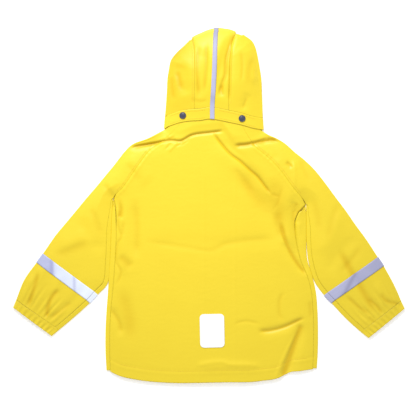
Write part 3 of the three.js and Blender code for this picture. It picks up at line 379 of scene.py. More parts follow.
# %% Fine creases of the sleeves
sleeve_creases = [
    ([(-365, -208), (-351, -166), (-341, -130)], -2.6, 4.5, 4, 0.25),
    ([(-377, -198), (-364, -166), (-353, -134)], 1.2, 5, 5, 0.3),
    ([(-327, -230), (-319, -190), (-299, -166)], -2.8, 4.5, 4, 0.2),
    ([(-321, -227), (-294, -210), (-275, -192)], -1.2, 4, 4, 0.2),
    ([(-317, -103), (-273, -87), (-235, -70)], -1.0, 10, 8, 0.3),
    ([(-240, 0), (-226, -30), (-214, -66)], -0.8, 7, 6, 0.3),
    ([(-214, 46), (-196, 22), (-190, 4)], -0.9, 5, 5, 0.3),
    ([(-172, 88), (-150, 66), (-140, 40)], -0.6, 6, 6, 0.3),
    ([(335, -220), (304, -168), (287, -140), (258, -85)], -2.2, 7, 6, 0.2),
    ([(347, -220), (335, -202), (315, -186)], -1.6, 3, 3, 0.25),
    ([(386, -208), (375, -198), (353, -191), (341, -174)], -1.8, 3.5, 3.5, 0.2),
    ([(272, -180), (296, -202), (324, -221)], -1.7, 3, 4, 0.25),
    ([(318, -223), (326, -230), (333, -240)], -1.2, 3, 3, 0.3),
    ([(205, 20), (216, -20), (222, -60)], -0.8, 7, 7, 0.3),
    ([(262, 10), (246, -30), (236, -76)], -0.7, 7, 7, 0.3),
    ([(306, -80), (284, -110), (258, -140)], -0.8, 6, 6, 0.3),
    ([(182, 96), (190, 70), (204, 44)], -0.7, 6, 5, 0.3),
]
print("fine creases on the sleeves", len(sleeve_creases))

# %% Fine creases of the hood
hood_creases = [
    ([(53, 348), (41, 320), (33, 290), (31, 260), (25, 242), (17, 214)], -2.8, 2.8, 4, 0.12),
    ([(60, 346), (49, 318), (42, 288), (40, 262)], 1.0, 5, 5, 0.2),
    ([(43, 318), (41, 270), (39, 200)], -1.7, 3, 3, 0.2),
    ([(24, 241), (25, 228), (26, 214)], -2.0, 4, 4, 0.3),
    ([(-7, 330), (-5, 284), (-10, 222)], -1.7, 2.8, 2.8, 0.2),
    ([(-21, 320), (-25, 270), (-19, 210)], -2.0, 3.4, 3.4, 0.2),
    ([(-5, 320), (-9, 250), (-13, 214)], -0.9, 3, 3, 0.2),
    ([(-65, 270), (-60, 248), (-55, 226)], -1.8, 5, 6, 0.3),
    ([(-76, 262), (-74, 230), (-70, 205)], -1.2, 5, 5, 0.3),
    ([(75, 216), (71, 203), (67, 190)], -0.8, 3, 3, 0.3),
    ([(88, 300), (80, 270), (78, 236)], -1.2, 6, 6, 0.3),
    ([(62, 310), (66, 280), (63, 240)], -1.0, 3.5, 3.5, 0.25),
    ([(-80, 292), (-66, 308), (-52, 322)], -1.4, 7, 8, 0.3),
    ([(-40, 212), (-20, 206), (0, 210)], -0.7, 4, 4, 0.3),
]
print("fine creases on the hood", len(hood_creases))

# %% [markdown]
# ## How high the cloth lies
# The layers rest on each other: fronts on the floor, the back over them, and the hood over the
# back. Each level is a height over the floor at a place x y. The top layer falls to the side folds
# on a soft curve, and it never comes nearer to the layer below than their thickness and a gap.

# %% Side folds of body and hood, as lines
def table_line(table, column, start, end):
    """Line through two columns of a table, cut finely."""
    return rows_at(table, np.arange(start, end + 1e-6, 0.5))[:, column : column + 2]


body_edges = [
    table_line(sleeve_left, 0, 0, LAST_ROW), table_line(sleeve_left, 4, UNDER_ROW, LAST_ROW),
    table_line(body_sides, 0, 0, 9), table_line(body_sides, 3, 0, 9),
    table_line(sleeve_right, 4, UNDER_ROW, LAST_ROW), table_line(sleeve_right, 0, 0, LAST_ROW),
]
hood_edge = np.array(
    [[-91, 153]] + [r[:2] for r in hood_left_rows] + crown + [r[:2] for r in reversed(hood_right_rows)] + [[108, 149]],
    float,
)


def edge_distance(lines, x, y):
    """Distance of each point from the nearest of some lines."""
    best = np.full(x.shape, 1e9)
    for line in lines:
        for (ax, ay), (dx, dy) in zip(line[:-1], np.diff(line, axis=0)):
            t = np.clip(((x - ax) * dx + (y - ay) * dy) / (dx * dx + dy * dy), 0, 1)
            best = np.minimum(best, np.hypot(x - ax - t * dx, y - ay - t * dy))
    return best


print("edge lines", len(body_edges), "with", sum(len(line) for line in body_edges), "points")

# %% Seams that are stitched down, as lines on the back
raglan_left = table_line(sleeve_left, 2, 0, UNDER_ROW)
raglan_right = table_line(sleeve_right, 2, 0, UNDER_ROW)
HEM_WIDE = 24.0
hem_xs = np.linspace(-203, 212, 60)
hem_stitch = np.stack([hem_xs, height_of(hem_line, hem_xs) + HEM_WIDE], -1)


def seam_relief(x, y):
    """Groove along each stitched line, a raised turning beside it, and small puckers that the
    thread pulls into the cloth: a wave of uneven length that dies away from the line."""
    total = np.zeros(x.shape)
    for line, turning in ((raglan_left, 1), (raglan_right, -1), (hem_stitch, -1)):
        b, at = beside(line, x, y)[:2]
        wave = np.sin(at * 0.52 + 1.7 * np.sin(at * 0.13)) * np.sin(at * 0.071 + 1.0)
        total += 0.24 * wave * np.exp(-((b / 6.5) ** 2))
        total -= 0.45 * np.exp(-((b / 2.0) ** 2))
        total += 0.35 * np.exp(-(((b * turning - 4.5) / 2.6) ** 2))
    return total


print("stitched lines", len(raglan_left), len(raglan_right), len(hem_stitch), "points")


# %% Levels of the layers
def bottom_level(x, y):
    """Middle of the lowest layer: on the floor, lifted over the front flap and over the neck edge
    of the hood by soft steps."""
    flap = smooth((x - FLAP_LEFT + 19) / 16) * smooth((FLAP_RIGHT + 19 - x) / 16)
    reach = np.maximum(np.maximum(-99 - x, x - 117), 0) * 4
    over_hood = smooth((y - height_of(hood_under, x) + 28 - reach) / 14)
    ends = smooth((FLAP_TOP + 14 - y) / 11)
    return np.maximum(mix(LOW, OVER_FLAP, flap * ends), mix(LOW, LOW + WALL + LAY_GAP + 0.2, over_hood))


def hood_top(x, y):
    """Middle of the hood's top layer: a soft dome over its outline, with its creases."""
    d = np.maximum(edge_distance([hood_edge], x, y) - 3, 0)
    full = mix(9, 19, smooth((y - 165) / 90))
    rise = 1 - (1 - np.clip(d / 68, 0, 1)) ** 2.2
    fine = crease_height(hood_creases, x, y)[0]
    relief = fold_height(hood_folds, x, y) * smooth(d / 14) + fine * smooth(d / 6)
    return 6.6 + full * rise + relief * smooth((y - 176) / 24)


shoulder_fold = [
    [-160, 119], [-130, 122], [-105, 127], [-87, 131], [-57, 131], [-33, 142], [4, 147], [26, 150], [47, 122],
    [71, 120], [91, 124], [111, 130], [150, 128],
]


def body_top(x, y):
    """Middle of the top layer of back and sleeves: a low dome between the side folds, with all its
    creases, kept above the layer below and led up under the hood."""
    d = np.maximum(edge_distance(body_edges, x, y) - 2, 0)
    rise = 1 - (1 - np.clip(d / 42, 0, 1)) ** 2.2
    full = mix(3.4, 5.6, smooth((y + 330) / 300)) + 1.2 * smooth((y + 40) / 120)
    centre = smooth((x - FLAP_LEFT + 70) / 60) * smooth((FLAP_RIGHT + 70 - x) / 60) * smooth((180 - y) / 60)
    base = LOW + 2 * TURN_IN + full * rise + centre * 1.2 * rise
    fine = crease_height(back_creases + sleeve_creases, x, y)[0] + seam_relief(x, y)
    creased = base + fold_height(main_folds, x, y) * smooth(d / 9) + fine * smooth(d / 5)
    least = bottom_level(x, y) + WALL + LAY_GAP + 0.25
    soft = least + np.logaddexp(0, (creased - least) * 2.2) / 2.2
    neck = smooth((y - height_of(shoulder_fold, x) + 3) / 22)
    under_hood = hood_top(x, y) - WALL - 0.15
    return np.maximum(mix(soft, under_hood, neck), least)


def raised(plan, z):
    """Plan points with a height: one for all of them, or one for each."""
    return np.concatenate([plan, np.broadcast_to(z, plan.shape[:-1])[..., None]], -1)


def lifted(plan, level):
    """Plan points with the height that a level gives them."""
    return raised(plan, level(plan[..., 0], plan[..., 1]))


print("back at its middle", float(body_top(np.array([0.0]), np.array([0.0]))[0]), "mm high")

# %% [markdown]
# ## Materials
# The cloth is a knit with a coat of soft plastic: strong yellow, satin, with a very fine pressed
# grain and small crinkles where it was folded. Shade is painted into its colour: a mask on the mesh
# tints the troughs of the creases towards a deeper orange yellow, standing in for the shade and the
# light bounced inside a crease, and the same mask darkens the left of the hood and parts of the tapes.
# The crinkles and the grain are one shader group that gives out a normal, and the colour variation
# with the painted shade another, so that each finish can use them at its own strength.

# %% Helpers for node trees
def add_node(tree, kind, **values):
    """New node of a kind, with its named settings, and its inputs where the name fits one."""
    node = tree.nodes.new(kind)
    for key, value in values.items():
        if hasattr(node, key):
            setattr(node, key, value)
        else:
            node.inputs[key.replace("_", " ")].default_value = value
    return node


def group_inputs(tree, kind, **values):
    """Named inputs of a node group, all of one kind, with the values they start from."""
    for name, value in values.items():
        socket = tree.interface.new_socket(name, in_out="INPUT", socket_type="NodeSocket" + kind)
        socket.default_value = value


def math_node(tree, operation, a, b):
    """Sum, product or the like of two sockets or numbers."""
    node = tree.nodes.new("ShaderNodeMath")
    node.operation = operation
    for socket, value in zip(node.inputs, (a, b)):
        if isinstance(value, (int, float)):
            socket.default_value = value
        else:
            tree.links.new(value, socket)
    return node.outputs[0]


def stretched_noise(tree, scale, stretch, turn, detail):
    """Noise in object space, longer one way than the other, turned about the vertical."""
    place = tree.nodes.new("ShaderNodeTexCoord")
    mapping = tree.nodes.new("ShaderNodeMapping")
    mapping.inputs["Rotation"].default_value = (0, 0, turn)
    mapping.inputs["Scale"].default_value = (1.0, stretch, 1.0)
    noise = add_node(tree, "ShaderNodeTexNoise", Scale=scale, Detail=detail, Roughness=0.5)
    tree.links.new(place.outputs["Object"], mapping.inputs["Vector"])
    tree.links.new(mapping.outputs["Vector"], noise.inputs["Vector"])
    return noise.outputs["Fac"]


# %% Group: crinkles and pressed grain as a normal
def crinkle_group():
    """Two bump layers: sharp-edged crinkles, the distance of stretched noise from its middle value,
    a few millimetres apart, and under them a grain of cells well under a millimetre."""
    tree = bpy.data.node_groups.new("crinkle_and_grain", "ShaderNodeTree")
    group_inputs(tree, "Float", Crinkle=0.3, Grain=0.2)
    tree.interface.new_socket("Normal", in_out="OUTPUT", socket_type="NodeSocketVector")
    given = tree.nodes.new("NodeGroupInput")
    result = tree.nodes.new("NodeGroupOutput")
    first = stretched_noise(tree, 34.0, 2.4, 0.5, 3.0)
    second = stretched_noise(tree, 62.0, 2.0, -0.9, 2.0)
    sharp = math_node(tree, "ABSOLUTE", math_node(tree, "SUBTRACT", first, 0.5), 0)
    both = math_node(tree, "ADD", sharp, math_node(tree, "MULTIPLY", second, 0.35))
    crinkle = add_node(tree, "ShaderNodeBump", Distance=0.004)
    tree.links.new(both, crinkle.inputs["Height"])
    tree.links.new(given.outputs["Crinkle"], crinkle.inputs["Strength"])
    place = tree.nodes.new("ShaderNodeTexCoord")
    cells = add_node(tree, "ShaderNodeTexVoronoi", Scale=1500.0)
    tree.links.new(place.outputs["Object"], cells.inputs["Vector"])
    grain = add_node(tree, "ShaderNodeBump", Distance=0.00025)
    tree.links.new(cells.outputs["Distance"], grain.inputs["Height"])
    tree.links.new(given.outputs["Grain"], grain.inputs["Strength"])
    tree.links.new(crinkle.outputs["Normal"], grain.inputs["Normal"])
    tree.links.new(grain.outputs["Normal"], result.inputs["Normal"])
    return tree


crinkle_and_grain = crinkle_group()
print("shader group", crinkle_and_grain.name)


# %% Group: two tones of a finish with soft variation and painted shade
def tone_and_shade_group():
    """Colour between a light and a deep tone: soft clouds a few centimetres wide make small
    differences, and the trough mask of the mesh, which is painted shade, pulls towards the deep tone."""
    tree = bpy.data.node_groups.new("cloth_tone_and_painted_shade", "ShaderNodeTree")
    group_inputs(tree, "Color", Light=(0.9, 0.7, 0.03, 1), Deep=(0.8, 0.45, 0.01, 1))
    group_inputs(tree, "Float", Clouds=0.2)
    tree.interface.new_socket("Color", in_out="OUTPUT", socket_type="NodeSocketColor")
    given = tree.nodes.new("NodeGroupInput")
    result = tree.nodes.new("NodeGroupOutput")
    clouds = math_node(tree, "SUBTRACT", stretched_noise(tree, 14.0, 1.6, 0.8, 4.0), 0.42)
    share = math_node(tree, "MULTIPLY", clouds, given.outputs["Clouds"])
    # Painted shade: the trough mask of the mesh, read from its attribute.
    trough = add_node(tree, "ShaderNodeAttribute", attribute_name="trough")
    total = math_node(tree, "ADD", share, trough.outputs["Fac"])
    held = add_node(tree, "ShaderNodeClamp")
    tree.links.new(total, held.inputs["Value"])
    blend = tree.nodes.new("ShaderNodeMix")
    blend.data_type = "RGBA"
    tree.links.new(held.outputs["Result"], blend.inputs["Factor"])
    tree.links.new(given.outputs["Light"], blend.inputs[6])
    tree.links.new(given.outputs["Deep"], blend.inputs[7])
    tree.links.new(blend.outputs[2], result.inputs["Color"])
    return tree


cloth_tone_and_painted_shade = tone_and_shade_group()
print("shader group", cloth_tone_and_painted_shade.name)


# %% Materials of the raincoat
def finish(name, light, deep, clouds, crinkle, grain, roughness, **sockets):
    """Principled surface whose colour and normal come from the two groups, and whose other values
    are set on its own sockets: the two tones, the strengths of the variation, and the roughness."""
    material = bpy.data.materials.new(name)
    material.use_nodes = True
    tree = material.node_tree
    surface = tree.nodes["Principled BSDF"]
    surface.inputs["Roughness"].default_value = roughness
    for key, value in sockets.items():
        surface.inputs[key.replace("_", " ")].default_value = value
    tone = add_node(tree, "ShaderNodeGroup", node_tree=cloth_tone_and_painted_shade)
    for key, value in (("Light", (*light, 1.0)), ("Deep", (*deep, 1.0)), ("Clouds", clouds)):
        tone.inputs[key].default_value = value
    relief = add_node(tree, "ShaderNodeGroup", node_tree=crinkle_and_grain)
    for key, value in (("Crinkle", crinkle), ("Grain", grain)):
        relief.inputs[key].default_value = value
    tree.links.new(tone.outputs["Color"], surface.inputs["Base Color"])
    tree.links.new(relief.outputs["Normal"], surface.inputs["Normal"])
    return material


# The deep tone of each finish is also the colour of its painted shade.
yellow_cloth = finish("yellow_coated_cloth", (0.765, 0.585, 0.020), (0.64, 0.42, 0.001), 0.22, 0.10, 0.12, 0.46,
                      Specular_IOR_Level=0.4, Sheen_Weight=0.03)
silver_tape = finish("silver_reflective_tape", (0.42, 0.43, 0.62), (0.25, 0.25, 0.38), 0.35, 0.08, 0.35, 0.42,
                     Specular_IOR_Level=0.35)
# A lighter copy of the tape, painted lit, for the sleeve band that lies towards the light.
lit_tape = finish("reflective_tape_painted_lit", (0.74, 0.80, 0.93), (0.36, 0.38, 0.60), 0.2, 0.08, 0.35, 0.42,
                     Specular_IOR_Level=0.35)
pale_patch = finish("pale_transfer_patch", (0.90, 0.90, 0.88), (0.80, 0.80, 0.79), 0.3, 0.08, 0.2, 0.45)
navy_snap = finish("navy_snap_cap", (0.045, 0.050, 0.085), (0.030, 0.034, 0.060), 0.5, 0.0, 0.25, 0.38)
yellow_thread = finish("yellow_thread", (0.72, 0.47, 0.02), (0.62, 0.36, 0.01), 0.2, 0.0, 0.4, 0.6)
print("materials", [m.name for m in bpy.data.materials])

# %% [markdown]
# ## From a middle surface to a piece of cloth
# Every piece of cloth is first a grid of points in the middle of its thickness. Moving the grid out
# and in along its normals gives two faces, and a rim closes them. The cloth is then as thick round
# a fold as it is elsewhere, and no modifier is needed.

# %% Grid of points to a closed sheet
def grid_normals(grid):
    """Unit normals of a grid: the cross product of the steps to the neighbours both ways."""
    n = np.cross(np.gradient(grid, axis=1), np.gradient(grid, axis=0))
    return n / np.linalg.norm(n, axis=-1, keepdims=True)


def sheet_faces(rows, columns):
    """Corner numbers of the upper and lower faces of a grid sheet, and of its rim."""
    at = np.arange(rows * columns).reshape(rows, columns)
    a, b, c, d = at[:-1, :-1], at[:-1, 1:], at[1:, 1:], at[1:, :-1]
    upper = np.stack([a, b, c, d], -1).reshape(-1, 4)
    lower = upper[:, ::-1] + at.size
    ring = np.concatenate([at[0, :-1], at[:-1, -1], at[-1, :0:-1], at[:0:-1, 0]])
    after = np.roll(ring, -1)
    rim = np.stack([after, ring, ring + at.size, after + at.size], -1)
    return np.concatenate([upper, lower, rim])


def mesh_piece(name, points, faces, material, trough=None, flat_last=0):
    """Object of quads in metres, at the origin, facing outwards, with its trough mask of painted shade.
    The last faces, the rim of a sheet, are left flat, so that the shading of its edge stays clean."""
    p = (points + SHIFT) / 1000.0
    q = p[faces]
    volume = np.einsum("ij,ij->i", q[:, 0] + q[:, 2], np.cross(q[:, 1] - q[:, 0], q[:, 3] - q[:, 0])).sum()
    if volume < 0:
        faces = faces[:, ::-1]
    mesh = bpy.data.meshes.new(name)
    mesh.vertices.add(len(p))
    mesh.vertices.foreach_set("co", p.astype(np.float32).ravel())
    mesh.loops.add(faces.size)
    mesh.loops.foreach_set("vertex_index", np.ascontiguousarray(faces, dtype=np.int32).ravel())
    mesh.polygons.add(len(faces))
    mesh.polygons.foreach_set("loop_start", np.arange(0, faces.size, 4, dtype=np.int32))
    mesh.polygons.foreach_set("use_smooth", np.arange(len(faces)) < len(faces) - flat_last)
    mesh.update(calc_edges=True)
    # Painted shade: the trough attribute darkens the colour in creases, on the left of the hood and on the tapes.
    mask = mesh.attributes.new("trough", "FLOAT", "POINT")
    values = np.zeros(len(p)) if trough is None else trough
    mask.data.foreach_set("value", values.astype(np.float32).ravel())
    mesh.materials.append(material)
    piece = bpy.data.objects.new(name, mesh)
    bpy.context.collection.objects.link(piece)
    return piece


CLOTH = (WALL, yellow_cloth, "yellow_cloth")
SILVER = (TAPE, silver_tape, "reflective_tape")
PAINTED_LIT_TAPE = (TAPE, lit_tape, "reflective_tape")
PATCH = (TAPE, pale_patch, "light_patch")


def cloth_sheet(node, grid, stuff, normals=None, trough=None):
    """Closed sheet round a grid, made of a stuff (its thickness, material and slot). It replaces a
    plain node."""
    thick, material, slot = stuff
    normals = grid_normals(grid) if normals is None else normals
    half = normals * thick / 2
    points = np.concatenate([(grid + half).reshape(-1, 3), (grid - half).reshape(-1, 3)])
    # The trough mask is painted shade, the same on both faces of the sheet.
    mask = None if trough is None else np.tile(np.clip(trough, 0, 1).ravel(), 2)
    rows, columns = grid.shape[:2]
    rim = 2 * (rows + columns - 2)
    piece = mesh_piece(node + "_piece", points, sheet_faces(rows, columns), material, mask, rim)
    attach(piece, "root")
    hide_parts(node)


# Painted shade: in the troughs of the creases the colour of the cloth is pulled towards its deep tone, by this much
# for each millimetre of depth.
PAINTED_SHADE_PER_MM = 0.30  # tint for each millimetre of depth


def painted_crease_shade(grid, creases=back_creases + sleeve_creases):
    """How much a place is darkened by painted shade: the depth of the troughs over it."""
    return crease_height(creases, grid[..., 0], grid[..., 1])[1] * PAINTED_SHADE_PER_MM


def turned(edge, inward, angle, half, top, bottom):
    """Round a fold: angle 0 on top, half a turn underneath, on an ellipse between two levels. The
    arrays have one entry per row, and the angles are the columns."""
    inset = TURN_OUT + half * (1 - np.sin(angle))
    plan = edge[:, None, :] + inward[:, None, :] * inset[None, :, None]
    z = (top + bottom)[:, None] / 2 + (top - bottom)[:, None] / 2 * np.cos(angle)[None, :]
    return raised(plan, z)


def between(a, b, t):
    """Plan points on the straight lines between two rows of points, at the shares t."""
    return a[:, None, :] + (b - a)[:, None, :] * t[None, :, None]


fold_angles = np.linspace(0, math.pi, 9)[1:-1]
print("steps round a fold", len(fold_angles))

# %% [markdown]
# ## Back
# The back is one large panel. Its rows run from the hem up the side seams, and then up the raglan
# seams to the neck, so that its sides follow the seams exactly. The seams lie a little inside the
# side folds, because the fronts wrap round.

# %% Back panel
BODY_END = 8.5  # the straight rows of the body end between its last two table rows
NECK_RISE = 7.0


def hem_shift(x, y0, fade):
    """How far the lowest rows are moved down to the curved hem."""
    return (height_of(hem_line, x) - y0) * (1 - np.clip(fade, 0, 1)) ** 2


def back_grid(columns=186):
    """Rows up the body and the raglan seams, straight across between the seams, with the neck
    raised in the middle."""
    f = np.linspace(0, BODY_END, 150)
    hollow = smooth((f - 7.2) / 1) * 1.2
    row = rows_at(body_sides, f)
    inset_left = TURN_OUT + TURN_IN + row[:, 2] + SEAM_GAP / 2 + hollow
    inset_right = TURN_OUT + TURN_IN + row[:, 5] + SEAM_GAP / 2 + hollow
    left = row[:, 0:2] + side_normal(body_sides, f, 0, -1) * inset_left[:, None]
    right = row[:, 3:5] + side_normal(body_sides, f, 3, 1) * inset_right[:, None]
    g = np.linspace(UNDER_ROW, 0, 92)
    gap = (SEAM_GAP / 2 + 1.6 * smooth(1 - (UNDER_ROW - g) / 0.5))[:, None]
    left = np.concatenate([left, rows_at(sleeve_left, g)[:, 2:4] - side_normal(sleeve_left, g, 2, -1) * gap])
    right = np.concatenate([right, rows_at(sleeve_right, g)[:, 2:4] - side_normal(sleeve_right, g, 2, 1) * gap])
    f = np.concatenate([f, 9 + UNDER_ROW - g])[:, None]
    t = np.linspace(0, 1, columns)
    plan = between(left, right, t)
    start = mix(left[0, 1], right[0, 1], t)[None, :]
    plan[..., 1] += NECK_RISE * 4 * (t * (1 - t))[None, :] * smooth((f - 12) / 5)
    plan[..., 1] += hem_shift(plan[..., 0], start, f / 4)
    return lifted(plan, body_top)


grid = back_grid()
cloth_sheet("back", grid, CLOTH,
            trough=painted_crease_shade(grid))

# %% [markdown]
# ## Fronts and flap
# The fronts lie underneath, wrapped round the side folds to the seams on the back. They meet at
# the opening, over a flap that carries the snaps. From above only their side strips show, but the
# raincoat may be turned over, so they are finished like the rest.

# %% Front panels
OPENING = {1: 9.8, -1: 10.2}  # x of the edge of each front in the middle
unwinding = np.array([[8.60, 0.2], [8.70, 0.4], [8.80, 0.6], [8.90, 0.8]])  # row, share of half a turn


def front_grid(side, columns=100):
    """Rows as those of the back: seam, round the side fold, then underneath to the opening. Where
    the side seam ends, the fold unwinds over a few rows, and above them the front lies flat."""
    column, sleeve = (0, sleeve_left) if side > 0 else (3, sleeve_right)
    f = np.linspace(0, BODY_END, 120)
    row = rows_at(body_sides, f)
    edge = row[:, column : column + 2]
    n = side_normal(body_sides, f, column, -side)
    inner = TURN_OUT + TURN_IN
    seam = edge + n * (inner + row[:, column + 2] - SEAM_GAP / 2)[:, None]
    p = edge + n * inner
    strip = lifted(between(seam, p, np.linspace(0, 1, 5)), body_top)
    wrap = turned(edge, n, fold_angles, TURN_IN, strip[:, -1, 2], np.full(len(f), LOW))
    t = np.linspace(0, 1, columns)
    under = between(p, np.stack([np.full(len(f), OPENING[side]), row[:, column + 1]], -1), t)
    shift = hem_shift(under[..., 0], row[:, column + 1][:, None], f[:, None] / 4) * (f < 4)[:, None]
    moved = under[..., 1] + shift + (1 - np.clip(f / 4, 0, 1))[:, None] * 2.5
    under[..., 1] = mix(under[..., 1], moved, smooth(t * 8)[None, :])
    low_rows = np.concatenate([strip, wrap, lifted(under, bottom_level)], 1)
    few = strip.shape[1] + wrap.shape[1]
    f, start_turn = unwinding[:, 0], unwinding[:, 1] * math.pi
    row = rows_at(body_sides, f)
    edge, n = row[:, column : column + 2], side_normal(body_sides, f, column, -side)
    p = edge + n * inner
    tall = mix(body_top(p[:, 0], p[:, 1]), LOW + 2 * TURN_IN, np.linspace(0.2, 1, len(f)))
    turning = mix(start_turn[:, None], math.pi, np.linspace(0, 1, few, endpoint=False)[None, :])
    plan = edge[:, None, :] + n[:, None, :] * (TURN_OUT + TURN_IN * (1 - np.sin(turning)))[..., None]
    z = (tall[:, None] + LOW) / 2 + (tall[:, None] - LOW) / 2 * np.cos(turning)
    flat = between(p, np.stack([np.full(len(f), OPENING[side]), row[:, column + 1]], -1), t)
    unwound = np.concatenate([raised(plan, z), lifted(flat, bottom_level)], 1)
    g = np.linspace(UNDER_ROW, 0, 70)
    row = rows_at(sleeve, g)
    start = row[:, 4:6] - side_normal(sleeve, g, 4, -side) * SEAM_GAP / 2
    centre = np.stack([np.full(len(g), OPENING[side]), mix(104, 10, g / UNDER_ROW)], -1)
    size = np.linalg.norm(centre - start, axis=1)[:, None]
    s = np.concatenate([np.linspace(0, 6, few, endpoint=False)[None, :] / size,
                        6 / size + (1 - 6 / size) * t[None, :]], 1)
    plan = start[:, None, :] + (centre - start)[:, None, :] * s[..., None]
    return np.concatenate([low_rows, unwound, lifted(plan, bottom_level)])


for name, side in (("left", 1), ("right", -1)):
    cloth_sheet(f"front_{name}", front_grid(side), CLOTH)

# %% Flap under the front opening
u, v = np.meshgrid(np.linspace(FLAP_LEFT, FLAP_RIGHT, 20), np.linspace(FLAP_LOW, FLAP_TOP, 120))
cloth_sheet("front_flap", raised(np.stack([u, v], -1), FLAP_LEVEL), CLOTH)

# %% [markdown]
# ## Sleeves
# A raglan sleeve runs up to the neck. Laid flat it is a long envelope: top layer, round the overarm
# fold, underneath, and below the armpit round the second fold to the underarm seam, which shows on
# the back as a line a few millimetres inside the edge. Near the wrist the elastic gathers the cloth.

# %% Sleeve surface
def gathers(f, across):
    """Ripples that the wrist elastic draws into the sleeve: uneven waves that grow to the cuff."""
    turn = across * 2 * math.pi
    wave = np.sin(turn * 9 + 0.8 * np.sin(across * 17)) + 0.4 * np.sin(turn * 15 + 1)
    fade = smooth((f - 14.4) / 1.0) * smooth((LAST_ROW - f) / 0.35) * smooth(across * 9) * smooth((1 - across) * 9)
    return 0.9 * fade * wave


def sleeve_grid(table, side, f, columns=(46, 26, 5)):
    """One row of points across the sleeve for each table place f."""
    row = rows_at(table, f)
    inner = TURN_OUT + TURN_IN
    over = row[:, 0:2]
    n_over = side_normal(table, f, 0, side)
    outer = over + n_over * inner
    under = row[:, 4:6]
    n_under = side_normal(table, np.maximum(f, UNDER_ROW + 0.3), 4, -side)
    under = under - n_under * (ARMPIT_BULGE * np.sin(math.pi * np.clip((f - UNDER_ROW) / 0.9, 0, 1)))[:, None]
    n_back = side_normal(table, np.minimum(f, UNDER_ROW), 2, -side)
    n_front = side_normal(table, np.minimum(f, UNDER_ROW), 4, -side)
    below = (f > UNDER_ROW + 1e-6)[:, None]
    strip = mix(STRIP_AT_ARMPIT, STRIP_WIDE, smooth((f - UNDER_ROW) / 1.6))[:, None]
    near_band = smooth((f - BAND_ROWS[0] + 1.1) / 0.9) * smooth((BAND_ROWS[1] + 1.1 - f) / 0.9)
    hug = (near_band * (TAPE + LAY_GAP))[:, None]
    start = np.where(below, under + n_under * (inner + strip + SEAM_GAP / 2), row[:, 2:4] + n_back * SEAM_GAP / 2)
    finish_at = np.where(below, under + n_under * inner, under + n_front * SEAM_GAP / 2)
    t = np.linspace(0, 1, columns[0])
    top = lifted(between(start, outer, t), body_top)
    top[..., 2] += gathers(f[:, None], t[None, :])
    low_outer = bottom_level(outer[:, 0], outer[:, 1]) + hug[:, 0]
    wrap = turned(over, n_over, fold_angles, TURN_IN, top[:, -1, 2], low_outer)
    t = np.linspace(0, 1, columns[1])
    beneath = lifted(between(outer, finish_at, t), bottom_level)
    beneath[..., 2] += hug
    p = lifted((under + n_under * inner)[:, None, :], body_top)
    low_p = bottom_level(p[:, 0, 0], p[:, 0, 1]) + hug[:, 0]
    back_turn = turned(under, n_under, fold_angles[::-1], TURN_IN, p[:, 0, 2], low_p)
    s = under + n_under * (inner + strip - SEAM_GAP / 2)
    lap = lifted(between(p[:, 0, :2], s, np.linspace(0, 1, columns[2])), body_top)
    folded = np.concatenate([beneath, back_turn, lap], 1)
    few = back_turn.shape[1] + lap.shape[1]
    end = 5.5 / np.linalg.norm(finish_at - outer, axis=1)[:, None]
    near = np.concatenate([t[None, :] * (1 - end), 1 - end * np.linspace(1, 0, few + 1)[None, 1:]], 1)
    plan = outer[:, None, :] + (finish_at - outer)[:, None, :] * near[..., None]
    return np.concatenate([top, wrap, np.where(below[..., None], folded, lifted(plan, bottom_level))], 1)


sleeve_places = np.concatenate([np.linspace(0, UNDER_ROW, 96), np.linspace(UNDER_ROW + 0.08, LAST_ROW, 130)])
for name, table, side in sleeves:
    grid = sleeve_grid(table, side, sleeve_places)
    cloth_sheet(f"sleeve_{name}", grid, CLOTH, trough=painted_crease_shade(grid))

# %% [markdown]
# ## Reflective bands on the sleeves
# Each band is a strip of tape sewn right round the sleeve, so it is the sleeve's own surface over a
# short stretch, moved out by half of both thicknesses. One band lies towards the light and the
# other away from it, so one is painted lit in a brighter copy of the tape and the other is the darker
# silver, and both get painted shade towards their outer ends and in a few dark lines where they bend.

# %% Sleeve bands
def painted_shade_line(place, wide):
    """Line of painted shade across a tape where it bends: a bell over the distance from its place."""
    return np.exp(-((place / wide) ** 2))


for name, table, side in sleeves:
    part = sleeve_grid(table, side, np.linspace(*BAND_ROWS, 14))
    normals = grid_normals(part)
    x, y = part[..., 0], part[..., 1]
    # Painted shade on the bands: darker towards the outer end of each, and in dark lines where they bend.
    if side > 0:
        painted_band_shade = smooth((-302 - x) / 24) * 0.6 + smooth((-240 - x) / 70) * 0.22
        painted_band_shade += 0.5 * painted_shade_line(x + 315, 4) + 0.55 * painted_shade_line(x + 270, 3)
    else:
        painted_band_shade = smooth((x - 250) / 90) * 0.35 + 0.55 * painted_shade_line(x - 289 - (y + 140) * 0.5, 5)
    cloth_sheet(f"band_{name}", part + normals * side * ON_CLOTH, PAINTED_LIT_TAPE if side > 0 else SILVER,
                normals, painted_band_shade)

# %% [markdown]
# ## Cuffs
# The cuff is a narrow casing with elastic inside. The elastic is shorter than the cloth, so the
# casing stands in small waves on top. Their spacing is pushed about by a second, slower wave.

